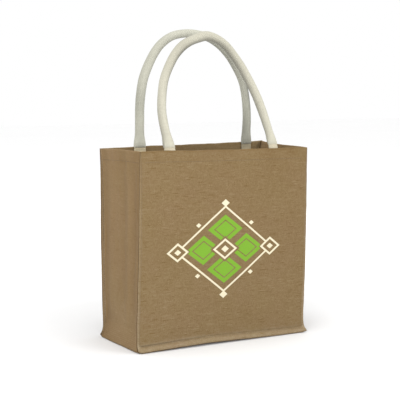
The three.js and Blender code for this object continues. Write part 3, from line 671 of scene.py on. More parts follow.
def make_panel(name, face):
    """A panel with its seam allowances, and the line of its seam."""
    seam = seam_line(face)
    sewn, tip = seam["at"] + seam["apart"], seam["tip"] + seam["apart"]
    left, right = LEFT_CORNER, RIGHT_CORNER
    ups = np.array(UP[:0:-1])
    inside = panel_inside(face, ups, np.array(ALONG[1:-1]))
    body = with_flanges(sewn[:left], tip[:left], inside, sewn[:right:-1], tip[:right:-1])

    def halfway(k):
        """Between one place on the sewn edge and the next."""
        return mix(tip[k], tip[k + 1], 0.5)

    tip_row = tip[left:right + 1].copy()
    tip_row[0], tip_row[-1] = halfway(left), halfway(right - 1)
    lows = np.array([0, *FLANGE])[:, None]
    middle = mix(sewn[left:right + 1], tip_row, lows[:, None])
    left_ends, right_ends = mix(halfway(left - 1), tip[left], lows), mix(halfway(right), tip[right], lows)
    lower = with_flanges(middle[:, 0], left_ends, middle[:, 1:-1], middle[:, -1], right_ends)
    grid = np.concatenate([body, lower])

    ups = np.concatenate([ups, 0 * lows[:, 0]])
    share = np.concatenate([np.zeros(len(FLANGE)), ALONG, np.ones(len(FLANGE))])
    across = over_flanges(np.array(ALONG), PANEL_WIDTH) - PANEL_WIDTH / 2
    along = ups * PANEL_HEIGHT
    along[-len(FLANGE):] = -FOOT_ALLOWANCE * np.array(FLANGE)
    hem = smooth((np.minimum(share, 1 - share) - PANEL_HEM_START) / PANEL_HEM_EASE)
    from_seam = np.maximum(PANEL_WIDTH / 2 - np.abs(across), 0)
    on_panel = np.abs(across) <= PANEL_WIDTH / 2
    high = along[:, None]
    # Painted highlights on the seam allowances, painted light in the corner above the foot, darker rims,
    # painted light and shade over the panel, and smudges with painted shade
    side_highlight = edge_highlight(np.abs(across) - PANEL_WIDTH / 2, read_pairs(SIDE_EDGE_HIGHLIGHT, ups)[:, None])
    wear_and_painted_shading = np.maximum(side_highlight, edge_highlight(-high, FOOT_EDGE_HIGHLIGHT))
    wear_and_painted_shading += read_pairs(FOOT_ROOT_LIGHT, share) * hill(high - FOOT_ROOT_HIGH, FOOT_ROOT_WIDE)
    wear_and_painted_shading -= RIM_DARKENING * near_rim(high)
    wear_and_painted_shading += (PANEL_SHADING - PANEL_SHADING_UP * ups[:, None] - PANEL_SHADING_RIGHT * share) * on_panel
    wear_and_painted_shading -= smudges_and_shade(face["smudges_and_shade"], across, high) * on_panel
    # Both panels' outer sides face away from the bag, so the back one is made from right to left
    way = -face["sign"]
    across, hem, from_seam = across[::way], hem[::way], from_seam[::way]
    return make_sheet(name, grid[:, ::way], across, along, ups, hem, from_seam, wear_and_painted_shading[:, ::way]), seam


def dents(side, deep, high):
    """How far the small dents lie inside the cloth."""
    total = 0
    for dent_side, across, up, depth, wide, tall, slant in DENTS:
        beside = deep - across * SIDE_DEPTH
        above = high - up * PANEL_HEIGHT - slant * beside
        total = total + depth * hill(beside, wide) * hill(above, tall) * (side == dent_side)
    return total


def at_stations(left_rows, right_rows, at):
    """The tables of the gusset's two sides, read at every station."""
    return np.array([
        read_grid(left_rows if side < 0 else right_rows, FOLD_ACROSS, up, at)[0] for side, up, _ in STATIONS
    ])


def gusset_rows(front, back):
    """The gusset strip's inside places, from the left rim down, along the bottom and up to the right rim."""
    side, up, edge = np.array(STATIONS).T[:, :, None]
    high, deep = up * PANEL_HEIGHT, ACROSS * SIDE_DEPTH
    start, end = front["at"][:, None], back["at"][:, None]
    points = mix(start, end, ACROSS[:, None])
    from_seam = np.minimum(ACROSS, 1 - ACROSS) * np.linalg.norm(end - start, axis=2)
    middle = smooth(from_seam / mix(FOOT_RISE, CORNER_RISE, edge))

    def uneven(seed):
        calm = smooth(from_seam / SIDE_CALM) * smooth(high / HILL_CALM) * rim_calm(high, *SIDE_RIM_CALM)
        soft = hills(deep, high, seed, *SIDE_HILLS) + hills(deep, high, seed + 1, *SMALL_SIDE_HILLS)
        pull = puckers(high, from_seam, seed + 2, *GUSSET_PUCKERS) * smooth(high / GUSSET_PUCKER_HIGH)
        return soft * calm + pull

    # The sides, with their folds
    bulge = (LAYER / 2 - at_stations(LEFT_FOLDS, RIGHT_FOLDS, ACROSS)) * edge
    soft = np.where(side < 0, uneven(LEFT_SEED), uneven(RIGHT_SEED)) - dents(side, deep, high)
    points[..., 0] += side * (bulge + soft * (up > 0))
    left_rise, right_rise = read_table(SIDE_RIM, ACROSS)
    lift = np.where(side < 0, left_rise, right_rise) * rise(high, *SIDE_RIM_RISE)
    side_z = points[..., 2] - FOLD_DROP * (1 - smooth(up / FOLD_HEIGHT)) * middle + lift
    side_z = np.maximum(side_z, FOOT_REST + FOLD_ROUND + FOLD_SLOPE * high)
    # The bottom strip
    rest = FOOT_REST + FOLD_ROUND * edge ** FOLD_TIGHTNESS
    points[..., 2] = np.where(up > 0, side_z, mix(points[..., 2] - LAYER / 2, rest, middle))
    return points


def make_gusset(name, front, back):
    sewn_front, sewn_back = (seam["at"] - seam["apart"] for seam in (front, back))
    tip_front, tip_back = (seam["tip"] - seam["apart"] for seam in (front, back))
    line = mix(sewn_front[:, None], sewn_back[:, None], ACROSS[:, None])
    near = smooth(np.minimum(ACROSS, 1 - ACROSS) / GUSSET_SEAM_EASE)[:, None]
    inside = mix(line, gusset_rows(front, back), near)
    grid = with_flanges(sewn_front, tip_front, inside, sewn_back, tip_back)[:, ::-1]

    side, ups, edge = np.array(STATIONS).T
    deep = over_flanges(np.array([0, *ACROSS, 1]), SIDE_DEPTH)[::-1]
    share = np.clip(deep / SIDE_DEPTH, 0, 1)
    nearer = np.minimum(share, 1 - share)
    beyond = np.maximum(deep - SIDE_DEPTH, -deep)
    high = ups[:, None] * PANEL_HEIGHT
    # Painted highlights on the seam allowances, a paler rim, painted light and shade over the folds, smudges
    # with a painted shadow, and painted light beside the seams
    wear_and_painted_shading = edge_highlight(beyond, GUSSET_EDGE_HIGHLIGHT) + SIDE_RIM_PALENESS * near_rim(high)
    wear_and_painted_shading += at_stations(LEFT_FOLD_SHADING, RIGHT_FOLD_SHADING, share) * edge[:, None] * (beyond <= 0)
    wear_and_painted_shading -= smudges_and_shade(LEFT_SMUDGES_AND_SHADE, deep, high) * ((side < 0) & (ups > 0))[:, None]
    wear_and_painted_shading += read_pairs(FRONT_ROOT_LIGHT, ups)[:, None] * hill(np.maximum(deep, 0), FRONT_ROOT_WIDE)
    wear_and_painted_shading += BACK_ROOT_LIGHT * hill(SIDE_DEPTH - deep, BACK_ROOT_WIDE)
    hem = smooth(nearer / GUSSET_HEM_EASE)
    return make_sheet(name, grid, deep, front["length"], ups, hem, nearer * SIDE_DEPTH, wear_and_painted_shading)


def handle_line(handle):
    """The middle line of a handle, up its left leg and down its right, and its length up to each place."""
    rows = handle["rows"]
    points = [(left, y, z) for z, left, right, y in rows]
    points.append(handle["top"])
    points += [(right, y, z) for z, left, right, y in reversed(rows)]
    points = np.array(points, float)
    padded = np.concatenate([[2 * points[0] - points[1]], points, [2 * points[-1] - points[-2]]])
    steps = np.arange(LINE_STEPS)[:, None] / LINE_STEPS
    curve = []
    for p0, p1, p2, p3 in zip(padded, padded[1:], padded[2:], padded[3:]):
        d0, d1, d2 = (np.linalg.norm(b - a) ** 0.5 for a, b in ((p0, p1), (p1, p2), (p2, p3)))
        t1 = ((p1 - p0) / d0 - (p2 - p0) / (d0 + d1) + (p2 - p1) / d1) * d1
        t2 = ((p2 - p1) / d1 - (p3 - p1) / (d1 + d2) + (p3 - p2) / d2) * d1
        curve.append(
            p1 + t1 * steps + (-3 * p1 + 3 * p2 - 2 * t1 - t2) * steps ** 2
            + (2 * p1 - 2 * p2 + t1 + t2) * steps ** 3
        )
    curve = np.concatenate(curve + [points[-1:]])
    return curve, distances(curve)


def handle_frame(curve, length, at):
    """Centres of a handle at distances from its left end, and its directions across width and depth."""
    way = unit(on_line(curve, length, at + LOOK_AHEAD) - on_line(curve, length, at - LOOK_AHEAD))
    deep = unit(np.array([0, 1, 0]) - way * way[:, 1:2])
    return on_line(curve, length, at), np.cross(way, deep), deep


def handle_section(handle, at, past, total, angle):
    """How far each point of every ring lies across the width and the depth."""
    tongue, seed = handle["tongue"], handle["seed"]
    girth = read_pairs(handle["girth"], at / total) * handle["rope"]
    tongue_width = np.where(at < total / 2, tongue["left"], tongue["right"])
    width_share, depth_share, square = read_table(FILLING, past)
    pinch = hill(past, PINCH_LENGTH)
    half_width = mix(tongue_width, girth, width_share) / 2 * (1 - PINCH_WIDTH * pinch)
    half_depth = mix(tongue["depth"], girth, depth_share) / 2 * (1 - PINCH_DEPTH * pinch)
    past, power = past[:, None], 2 / square[:, None]
    filled = smooth(past / FILLED)
    lumps = LUMP_HEIGHT * ripple(at[:, None] / LUMP_LENGTH, angle / (2 * np.pi), seed) * filled
    fold = np.exp(-np.maximum(past, 0) / CREASE_REACH) * smooth(past / 2 + 0.5)
    creases = CREASE_DEPTH * fold * np.sin(CREASES * angle + CREASE_START * seed + CREASE_TWIST * past)
    ridge = RIDGE_HEIGHT * hill(angle - np.pi / 2, RIDGE_WIDTH) * filled
    reach = 1 + lumps + creases + ridge
    cos, sin = np.cos(angle), np.sin(angle)
    wide = half_width[:, None] * np.sign(cos) * np.abs(cos) ** power
    deep = half_depth[:, None] * np.sign(sin) * np.abs(sin) ** power
    return wide * reach, deep * reach


def make_handle(name, handle):
    curve, length = handle_line(handle)
    total, tongue = length[-1], handle["tongue"]["length"]
    tongue_rings = np.linspace(TONGUE_START, tongue - TONGUE_STOP, TONGUE_RINGS)
    ends = np.concatenate([END_RINGS, tongue_rings, tongue + np.array(NECK_RINGS)])
    rope_rings = np.linspace(tongue + ROPE_START, total - tongue - ROPE_START, ROPE_RINGS)
    at = np.concatenate([ends, rope_rings, total - ends[::-1]])
    from_end = np.minimum(at, total - at)
    past = from_end - tongue
    angle = 2 * np.pi * (np.arange(HANDLE_SIDES) + 0.5) / HANDLE_SIDES
    centre, wide_way, deep_way = handle_frame(curve, length, at)
    wide, deep = handle_section(handle, at, past, total, angle)
    rounding = np.sqrt(1 - (1 - np.clip(from_end / END_ROUND, 0, 1)) ** 2)[:, None]
    wide, deep = wide * mix(END_WIDTH, 1, mix(END_DEPTH, 1, rounding)), deep * mix(END_DEPTH, 1, rounding)
    index = np.arange(wide.size).reshape(1, *wide.shape)
    piece = new_piece(name, rings(centre, wide_way, deep_way, wide, deep), tube_faces(index))

    outward = rings(0 * centre, wide_way, deep_way, np.cos(angle), np.sin(angle))
    sideways, upwards = outward[..., 0], outward[..., 2]
    # Painted light and shade along the handle, painted shade on its underside and its sides, with the front
    # handle's painted shadow on the back one
    left_side_shade, right_side_shade = read_table(handle["side_shade"], at / total)[..., None]
    wear_and_painted_shading = read_pairs(handle["wear_and_painted_shading"], at / total)[:, None] + handle["underside_shade"] * np.minimum(upwards, 0)
    wear_and_painted_shading += left_side_shade * np.minimum(sideways, 0) - right_side_shade * np.maximum(sideways, 0)
    set_mark(piece, "wear_and_painted_shading", wear_and_painted_shading)
    dust = handle["dust"] * (1 - rise(past, DUST_START, DUST_EASE))
    set_mark(piece, "dust", np.broadcast_to(dust[:, None], wear_and_painted_shading.shape))

    left, low, high = np.arange(HANDLE_SIDES) / HANDLE_SIDES * HANDLE_ROUND, at[:-1, None], at[1:, None]
    right = left + HANDLE_ROUND / HANDLE_SIDES
    tube = np.stack([pairs(left, low), pairs(left, high), pairs(right, high), pairs(right, low)], axis=2)
    set_cloth_places(piece, np.concatenate([tube.reshape(-1, 2), pairs(left, at[0]), pairs(left, at[-1])]))
    return piece


def stitch_row(line, normals, pitch, share, radius, seed):
    """The stitches along a line of places with normals, each as rings of points."""
    length = distances(line)
    chance = np.random.RandomState(seed)
    angle = 2 * np.pi * np.arange(STITCH_SIDES) / STITCH_SIDES
    place, lift, thick = np.array(STITCH_SHAPE).T
    stitches = []
    for n in range(int(length[-1] / pitch)):
        start = n * pitch + chance.uniform(-STITCH_UNEVEN, STITCH_UNEVEN) * pitch
        sway = chance.uniform(-STITCH_SWAY, STITCH_SWAY) * radius
        places = start + place * pitch * share
        at, up = on_line(line, length, places), unit(on_line(normals, length, places))
        side = unit(np.cross(up, at[-1] - at[0]))
        middle = at + up * lift[:, None] * radius + side * sway
        round_it = (np.outer(thick * radius, turn) for turn in (np.cos(angle), np.sin(angle)))
        stitches.append(rings(middle, side, up, *round_it))
    return stitches


def make_stitches(name, lines, pitch, share, radius, seed):
    """One piece of all the stitches along several lines."""
    rows = [stitch_row(*line, pitch, share, radius, seed + k) for k, line in enumerate(lines)]
    points = np.concatenate(rows)
    index = np.arange(points.size // 3).reshape(points.shape[:-1])
    return new_piece(name, points, tube_faces(index))


def seam_stitch_lines(seam):
    """Stitch lines on both sides of a sewn edge, a little outside the seam."""
    ways = [unit(seam["apart"]) * side for side in (1, -1)]
    middle = mix(seam["at"], seam["tip"], SEAM_STITCH_PLACE)
    return [((middle + way * (LAYER + CLOTH / 2))[2:-2], way[2:-2]) for way in ways]


def hem_stitch_lines(front, back):
    """The hem's stitch line right round the bag, outside and inside."""
    row = int(np.argmin(np.abs(np.array(UP) - (1 - STITCH_DEPTH / PANEL_HEIGHT))))
    alongs, gusset = np.array(ALONG[3:-3]), gusset_rows(front, back)
    middles = [
        (panel_inside(FRONT, np.array([UP[row]]), alongs)[0], (0, -1, 0)),
        (panel_inside(BACK, np.array([UP[row]]), alongs)[0], (0, 1, 0)),
        (gusset[LEFT_CORNER - row][3:-3], (-1, 0, 0)),
        (gusset[RIGHT_CORNER + row][3:-3], (1, 0, 0)),
    ]
    lines = []
    for middle, way in middles:
        way = np.broadcast_to(np.array(way, float), middle.shape)
        lines.append((middle + way * (CLOTH / 2 - HEM_STITCH_SUNK), way))
        lines.append((middle - way * (HEM_THICKNESS - CLOTH / 2 - HEM_STITCH_SUNK), -way))
    return lines


def tongue_stitch_lines(handle, inwards):
    """Two rows of stitches across each tongue where the rope filling ends, and a box of them on it."""
    curve, length = handle_line(handle)
    tongue = handle["tongue"]
    lines = []
    for side in ("left", "right"):
        half = tongue[side] / 2 - BOX_MARGIN
        low, high = BOX_MARGIN, tongue["length"] - BOX_MARGIN - 1
        ends = [tongue["length"] + past for past in TONGUE_ROWS]
        rows = [[(end, -half - 1), (end, half + 1)] for end in ends]
        box = [(low, -half), (low, half), (high, half), (high, -half), (low, -half)]
        for corners in (*rows, box):
            steps = np.arange(ROW_STEPS * (len(corners) - 1) + 1) / ROW_STEPS
            at, across = (np.interp(steps, np.arange(len(corners)), places) for places in zip(*corners))
            centre, wide, deep = handle_frame(curve, length, at if side == "left" else length[-1] - at)
            way = deep * inwards
            lines.append((centre + wide * across[:, None] + way * tongue["depth"] / 2, way))
    return lines


class Value:
    """A number or colour that a material works out, with the usual signs for sums on numbers."""

    def __init__(self, look, socket):
        self.look = look
        self.socket = socket

    def __abs__(self):
        return self.look.math("ABSOLUTE", self)


for sign, operation in (
    ("add", "ADD"), ("sub", "SUBTRACT"), ("mul", "MULTIPLY"), ("truediv", "DIVIDE"), ("pow", "POWER"),
    ("lt", "LESS_THAN"), ("gt", "GREATER_THAN"),
):
    setattr(Value, f"__{sign}__", lambda self, other, kind=operation: self.look.math(kind, self, other))


class Look:
    """A material and short calls to build its nodes."""

    def __init__(self, name):
        self.material = bpy.data.materials.new(name)
        self.material.use_nodes = True
        self.tree = self.material.node_tree

    def put(self, value, target):
        """Link a value to an input, or set the input to a number or colour."""
        if isinstance(value, Value):
            self.tree.links.new(value.socket, target)
        else:
            target.default_value = (*value, 1) if isinstance(value, tuple) else value

    def make(self, kind, inputs=(), output=0, **settings):
        """A node with its settings and its inputs by name or number, as the value that it gives."""
        node = self.tree.nodes.new("ShaderNode" + kind)
        for name, setting in settings.items():
            setattr(node, name, setting)
        for name, value in dict(inputs).items():
            self.put(value, node.inputs[name])
        return Value(self, node.outputs[output])

    def math(self, operation, *values):
        return self.make("Math", enumerate(values), operation=operation)

    def place(self, x, y):
        return self.make("CombineXYZ", {"X": x, "Y": y})

    def noise(self, place, scale=1.0, detail=2.0, rough=0.5):
        inputs = {"Vector": place, "Scale": scale, "Detail": detail, "Roughness": rough}
        return self.make("TexNoise", inputs, "Fac")

    def spread(self, value, low, high, to_low=0.0, to_high=1.0):
        return self.make("MapRange", enumerate((value, low, high, to_low, to_high)))

    def blend(self, share, a, b, kind="MIX"):
        return self.make("Mix", {"Factor": share, 6: a, 7: b}, 2, data_type="RGBA", blend_type=kind)

    def colour(self, red, green, blue):
        return self.make("CombineColor", enumerate((red, green, blue)))

    def times(self, colour, red, green, blue):
        """A colour with each of its channels multiplied."""
        return self.blend(1, colour, self.colour(red, green, blue), "MULTIPLY")

    def cloth_places(self):
        both = self.make("UVMap", uv_map="cloth")
        return [self.make("SeparateXYZ", {0: both}, axis) for axis in ("X", "Y")]

    def object_place(self):
        return self.make("TexCoord", output="Object")

    def mark(self, name):
        return self.make("Attribute", output="Fac", attribute_name=name)

    def bump(self, relief, depth, strength):
        """The normal over a relief whose depth is in metres."""
        return self.make("Bump", {"Height": relief, "Distance": depth, "Strength": strength})

    def shade(self, **inputs):
        for name, value in inputs.items():
            self.put(value, self.tree.nodes["Principled BSDF"].inputs[name.replace("_", " ")])


def weave(look, u, v, pitch_u, pitch_v):
    """A plain weave over places in metres: height, whether the crosswise yarn is on top, and yarn counts."""
    count_u, count_v = u / pitch_u, v / pitch_v
    sin_u, sin_v = look.math("SINE", count_u * math.pi), look.math("SINE", count_v * math.pi)
    round_u, round_v, sign = abs(sin_u), abs(sin_v), look.math("SIGN", sin_u * sin_v)
    weft = round_v * (sign * round_u * 0.5 + 0.5)
    warp = round_u * (sign * round_v * -0.5 + 0.5)
    column, row = look.math("FLOOR", count_u), look.math("FLOOR", count_v)
    return look.math("MAXIMUM", weft, warp), weft > warp, column, row


# The printed design: filled lozenges in green, and outlined lozenges and dots in cream. Millimetres from
# its middle: place across and up, half width and half height. The outlined ones also have the line's half
# thickness and the space kept free of green, as shares of their size. Each green one has a slit at a
# share of its size
GREEN_LOZENGES = [(0, 34, 34, 25), (0, -34, 34, 25), (-42, 0, 34, 25), (42, 0, 34, 25)]
CREAM_RINGS = [
    (0, 0, 93, 73, 0.027, 0), (0, 0, 21, 16, 0.13, 1.4), (-91, 0, 18, 14, 0.15, 1.3),
    (91, 0, 18, 14, 0.15, 1.3),
]
CREAM_DOTS = [
    (0, 0, 7.5, 6), (-91, 0, 6.5, 5), (91, 0, 6.5, 5), (0, 79, 8, 6.5), (0, -79, 8, 6.5),
    (-52, 43, 5, 4), (52, 43, 5, 4), (-52, -43, 5, 4), (52, -43, 5, 4),
]
SLIT_PLACE, SLIT_HALF = 0.62, 0.045
GREEN, GREEN_COVER = (0.145, 0.31, 0.026), 0.94
CREAM, CREAM_COVER = (0.6, 0.55, 0.4), 0.96
PRINT_MIDDLE = (-3.4, 151)


def lozenge(x, y, across, up, wide, high):
    """0 at the middle of a lozenge and 1 on its outline."""
    return abs(x - across) / wide + abs(y - up) / high


def printed(look, u, v, colour):
    """The design in flat ink over the cloth's colour, and where there is ink."""
    x, y = u / MM - PRINT_MIDDLE[0], v / MM - PRINT_MIDDLE[1]
    green, cream, clear = 0, 0, 1
    for shape in GREEN_LOZENGES:
        reach = lozenge(x, y, *shape)
        green = look.math("MAXIMUM", green, (reach < 1) * (abs(reach - SLIT_PLACE) > SLIT_HALF))
    for *shape, line, space in CREAM_RINGS:
        reach = lozenge(x, y, *shape)
        cream = look.math("MAXIMUM", (reach > 1) * cream, abs(reach - 1) < line)
        clear = (reach > space) * clear
    for shape in CREAM_DOTS:
        cream = look.math("MAXIMUM", cream, lozenge(x, y, *shape) < 1)
    green = clear * green
    colour = look.blend(green * GREEN_COVER, colour, GREEN)
    return look.blend(cream * CREAM_COVER, colour, CREAM), look.math("MAXIMUM", green, cream)


# Materials. Yarns are so many metres apart and wander by up to so many. Noises over the cloth have so
# many hills in a metre, and from yarn to yarn they step on by the numbers that counts are multiplied with
JUTE_WEFT, JUTE_WARP = {"pitch": 0.00185, "wander": 0.0012}, {"pitch": 0.0017, "wander": 0.0008}
CANVAS_WEFT, CANVAS_WARP = {"pitch": 0.00095, "wander": 0.0004}, {"pitch": 0.00085, "wander": 0.0005}
# How much jute's tone varies along the two kinds of yarn and from one float to the next, and how much
# slubs show
WEFT_TONE, WARP_TONE, FLOAT_TONE = 1.8, 0.6, 0.36
PALE_SLUB, DARK_SLUB = 0.7, 0.95
WEAR_AND_SHADING_GAIN = 0.12
# How much more the green and blue of the cloth change than its red where it is paler or darker
TONE_CHANGE = (0.78, 1.05, 1.6)
JUTE_DUST = (0.96, 0.83, 0.66)
BARE = {"rough": (0.85, 1), "specular": 0.1, "sheen": 0.03}
LAMINATED = {"rough": (0.42, 0.6), "specular": 0.35, "sheen": 0.0}


def toned(tone, share):
    """Jute of a tone that is paler (above 0) or darker by a share."""
    return tuple(channel * (1 + share * change) for channel, change in zip(tone, TONE_CHANGE))


def scaled(tone, share):
    return tuple(channel * share for channel in tone)


def jute(name, tone, contrast=0.5, with_print=False, laminated=False):
    """Plain-woven jute: uneven yarns with slubs, loose fibres, and painted shade in the gaps between the
    yarns.
    """
    look = Look(name)
    u, v = look.cloth_places()
    place = look.place(u, v)
    wobbly_u = look.noise(look.place(u + 3.1, v), 130) * JUTE_WARP["wander"] + u
    wobbly_v = look.noise(place, 55) * JUTE_WEFT["wander"] + v
    height, weft, column, row = weave(look, wobbly_u, wobbly_v, JUTE_WARP["pitch"], JUTE_WEFT["pitch"])
    warp = weft * -1 + 1
    # Each float of yarn has a tone of its own, and each yarn changes slowly along its length
    chance = look.make("TexWhiteNoise", {"Vector": look.place(column, row)}, "Value", noise_dimensions="2D")
    weft_tone = look.noise(look.place(u * 110, row * 7.31), 1, 3, 0.7) - 0.5
    warp_tone = look.noise(look.place(column * 5.17, v * 60), 1, 3, 0.7) - 0.5
    yarn_tone = (chance - 0.5) * FLOAT_TONE + weft_tone * weft * WEFT_TONE + warp_tone * warp * WARP_TONE
    # Slubs: short thick places in the yarns, some pale and some dark, most of them in the crosswise ones
    weft_slub = look.noise(look.place(u * 48, row * 11.7), 1, 1)
    warp_slub = look.noise(look.place(column * 13.3, v * 52), 1, 1)

    def slubs(weft_range, warp_range, fewer):
        crosswise = look.spread(weft_slub, *weft_range) * (warp * -fewer + 1)
        return crosswise + look.spread(warp_slub, *warp_range) * warp

    pale_slub = slubs((0.6, 0.72), (0.66, 0.78), 0.55)
    dark_slub = slubs((0.38, 0.27), (0.32, 0.22), 0.45)
    fibre = look.noise(look.place(u * 900, v * 2600))
    broad, patch = look.noise(place, 9, 3), look.noise(place, 60)
    tint = look.noise(look.place(u + 7.7, v), 14)

    colour = look.blend(yarn_tone * 0.9 + 0.45, toned(tone, -0.42 * contrast), toned(tone, 0.5 * contrast))
    colour = look.blend(pale_slub * (PALE_SLUB * contrast), colour, toned(tone, 0.6))
    colour = look.blend(dark_slub * (DARK_SLUB * contrast), colour, toned(tone, -0.5))
    warm = look.blend(look.spread(tint, 0.35, 0.65), (0.995, 1.004, 0.98), (1.005, 0.997, 1.02))
    colour = look.blend(1, colour, warm, "MULTIPLY")
    # The mark read here scales the colour: mostly painted light and shade, with smudges
    gain = look.mark("wear_and_painted_shading") * WEAR_AND_SHADING_GAIN + 1
    # The first of these darkens the gaps between the yarns by the weave's height: painted shade
    for value, low, high, to_low, to_high in (
        (height, 0.05, 0.6, 0.76, 1.04), (broad, 0.3, 0.7, 0.98, 1.02), (patch, 0.25, 0.75, 0.985, 1.015),
        (fibre, 0.25, 0.75, 0.93, 1.07),
    ):
        gain = gain * look.spread(value, low, high, to_low, to_high)
    colour = look.times(colour, *(gain ** change for change in TONE_CHANGE))
    if with_print:
        inked, ink = printed(look, u, v, colour)
        soft_gain = look.spread(gain, 0.6, 1.2, 0.93, 1.03)
        colour = look.blend(ink, inked, look.times(inked, soft_gain, soft_gain, soft_gain))
    finish = LAMINATED if laminated else BARE
    look.shade(
        Base_Color=colour, Normal=look.bump(height * 0.75 + fibre * 0.2 + pale_slub * 0.35, 0.0003, 0.8),
        Roughness=look.spread(fibre, 0.2, 0.8, *finish["rough"]),
        Specular_IOR_Level=finish["specular"], Sheen_Weight=finish["sheen"], Sheen_Roughness=0.5)
    return look.material


def canvas(name, tone):
    """Fine cotton canvas round the handle's rope filling."""
    look = Look(name)
    u, v = look.cloth_places()
    place = look.place(u, v)
    shift, broad = look.noise(place, 160), look.noise(place, 28, 3)
    wobbly_u, wobbly_v = shift * CANVAS_WARP["wander"] + u, shift * CANVAS_WEFT["wander"] + v
    height, _, column, row = weave(look, wobbly_u, wobbly_v, CANVAS_WARP["pitch"], CANVAS_WEFT["pitch"])
    yarn = look.noise(look.place(column * 3.1, v * 45)) + look.noise(look.place(u * 70, row * 4.7))
    colour = look.blend(look.spread(yarn, 0.7, 1.3), scaled(tone, 0.93), scaled(tone, 1.05))
    # The first factor darkens the gaps between the yarns by the weave's height: painted shade
    gain = look.spread(height, 0.05, 0.6, 0.86, 1.02) * look.spread(broad, 0.3, 0.7, 0.97, 1.02)
    # The mark read here scales the colour: painted light and shade along the handle
    gain = gain * (look.mark("wear_and_painted_shading") * WEAR_AND_SHADING_GAIN + 1)
    colour = look.times(colour, gain, gain, gain)
    colour = look.blend(look.mark("dust"), colour, JUTE_DUST, "MULTIPLY")
    look.shade(
        Base_Color=colour, Normal=look.bump(height, 0.00012, 0.6),
        Roughness=look.spread(broad, 0.3, 0.7, 0.78, 0.92), Specular_IOR_Level=0.25, Sheen_Weight=0.15,
        Sheen_Roughness=0.45)
    return look.material


def thread(name, tone):
    """Twisted sewing thread."""
    look = Look(name)
    place = look.object_place()
    fine, broad = look.noise(place, 2400), look.noise(place, 120)
    share = look.spread(fine * 0.6 + broad * 0.4, 0.3, 0.7)
    colour = look.blend(share, scaled(tone, 0.8), scaled(tone, 1.15))
    rough = look.spread(fine, 0.3, 0.7, 0.6, 0.85)
    look.shade(Base_Color=colour, Normal=look.bump(fine, 0.0001, 0.6), Roughness=rough)
    return look.material


def make_camera():
    turn, tilt = math.radians(CAMERA["turn"]), math.radians(CAMERA["tilt"])
    back = Vector((-math.sin(turn) * math.cos(tilt), -math.cos(turn) * math.cos(tilt), math.sin(tilt)))
    right = Vector((math.cos(turn), -math.sin(turn), 0))
    up = back.cross(right)
    data = bpy.data.cameras.new("camera")
    data.lens = CAMERA["lens"]
    data.sensor_width = CAMERA["sensor"]
    camera = bpy.data.objects.new("camera", data)
    matrix = Matrix((right, up, back)).transposed().to_4x4()
    matrix.translation = back * CAMERA["distance"] + right * CAMERA["right"] + up * CAMERA["up"]
    camera.matrix_world = matrix
    bpy.context.collection.objects.link(camera)
    bpy.context.scene.camera = camera


def area_light(name, place, target, size, power):
    data = bpy.data.lights.new(name, "AREA")
    data.shape = "SQUARE"
    data.size = size
    data.energy = power
    light = bpy.data.objects.new(name, data)
    light.location = place
    light.rotation_euler = (Vector(target) - Vector(place)).to_track_quat("-Z", "Y").to_euler()
    bpy.context.collection.objects.link(light)


def make_studio():
    """A pale floor, darker near the bag as painted shade, and soft light from all round, with more from above
    and from both sides of the front.
    """
    scene = bpy.context.scene
    scene.view_settings.view_transform = "Standard"
    world = bpy.data.worlds.new("studio")
    world.use_nodes = True
    background = world.node_tree.nodes["Background"]
    background.inputs["Color"].default_value = (1, 1, 1, 1)
    background.inputs["Strength"].default_value = 1.0
    scene.world = world
    corners = np.array([(-1, -1, 0), (1, -1, 0), (1, 1, 0), (-1, 1, 0)]) * FLOOR_HALF
    floor = new_piece("floor", corners, [(0, 1, 2, 3)])
    look = Look("floor_white")
    place = look.object_place()
    length = look.make("VectorMath", {0: place}, "Value", operation="LENGTH")
    (near, near_shade_tone), (far, far_tone) = FLOOR_NEAR_SHADE, FLOOR_FAR
    speck = look.noise(place, 3) * FLOOR_SPECK - FLOOR_SPECK / 2
    tone = look.spread(length, near, far, near_shade_tone, far_tone) + speck
    look.shade(Base_Color=look.colour(tone, tone, tone), Roughness=0.9)
    floor.data.materials.append(look.material)
    for light in LIGHTS:
        area_light(**light)


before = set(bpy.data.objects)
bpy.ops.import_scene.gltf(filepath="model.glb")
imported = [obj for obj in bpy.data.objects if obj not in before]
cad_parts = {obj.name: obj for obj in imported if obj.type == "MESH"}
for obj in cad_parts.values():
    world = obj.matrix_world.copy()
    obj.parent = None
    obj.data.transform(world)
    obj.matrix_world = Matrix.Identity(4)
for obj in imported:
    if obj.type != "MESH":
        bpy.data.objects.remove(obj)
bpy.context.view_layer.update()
make_camera()
make_studio()

JUTE_TONE, INSIDE_TONE = (0.168, 0.115, 0.0565), (0.192, 0.149, 0.083)
# The gusset's jute is the panels' cloth, given a paler tone as painted light for its side, which the lamps
# light less
GUSSET_TONE_WITH_PAINTED_LIGHT, GUSSET_INSIDE_TONE = (0.192, 0.1255, 0.0595), (0.17, 0.13, 0.072)
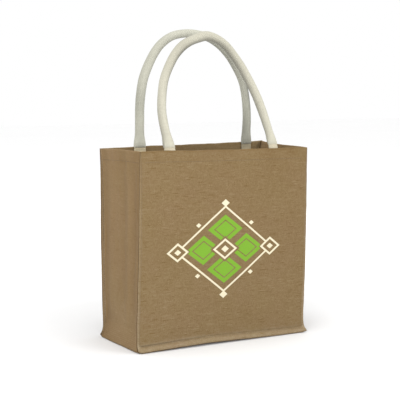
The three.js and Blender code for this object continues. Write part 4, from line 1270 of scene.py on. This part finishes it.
# The back handle's canvas is the front one's cloth, given a darker tone as painted shade
FRONT_CANVAS_TONE, BACK_CANVAS_SHADED_TONE = (0.385, 0.37, 0.3), (0.365, 0.36, 0.3)
SEAM_THREAD_TONE = (0.165, 0.112, 0.056)
HEM_THREAD_TONE = (0.11, 0.074, 0.037)
TONGUE_THREAD_TONE = (0.3, 0.27, 0.2)

front_cloth, front_seam = make_panel("front_panel_cloth", FRONT)
back_cloth, back_seam = make_panel("back_panel_cloth", BACK)
gusset_cloth = make_gusset("gusset_cloth", front_seam, back_seam)
front_rope = make_handle("front_handle_canvas", FRONT_HANDLE)
back_rope = make_handle("back_handle_canvas", BACK_HANDLE)
seam_lines = seam_stitch_lines(front_seam) + seam_stitch_lines(back_seam)
tongue_lines = tongue_stitch_lines(FRONT_HANDLE, 1) + tongue_stitch_lines(BACK_HANDLE, -1)
seam_thread = make_stitches("seam_stitches", seam_lines, **SEAM_STITCHES)
hem_thread = make_stitches("hem_stitches", hem_stitch_lines(front_seam, back_seam), **HEM_STITCHES)
tongue_thread = make_stitches("tongue_stitches", tongue_lines, **TONGUE_STITCHES)

for piece, slot, node, *materials in (
    (front_cloth, "jute_front", "front_panel", jute("jute_front", JUTE_TONE, with_print=True),
     jute("jute_front_inside", INSIDE_TONE, laminated=True)),
    (back_cloth, "jute_back", "back_panel", jute("jute_back", JUTE_TONE),
     jute("jute_back_inside", INSIDE_TONE, laminated=True)),
    (gusset_cloth, "jute_gusset", "gusset", jute("jute_gusset", GUSSET_TONE_WITH_PAINTED_LIGHT, contrast=0.3),
     jute("jute_gusset_inside", GUSSET_INSIDE_TONE, laminated=True)),
    (front_rope, "cotton", "front_handle", canvas("canvas_front", FRONT_CANVAS_TONE)),
    (back_rope, "cotton", "back_handle", canvas("canvas_back", BACK_CANVAS_SHADED_TONE)),
    (seam_thread, "jute_gusset", None, thread("seam_thread", SEAM_THREAD_TONE)),
    (hem_thread, "jute_front", None, thread("hem_thread", HEM_THREAD_TONE)),
    (tongue_thread, "cotton", None, thread("tongue_thread", TONGUE_THREAD_TONE)),
):
    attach(piece, "root")
    if node:
        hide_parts(node)
    for material in materials:
        piece.data.materials.append(material)
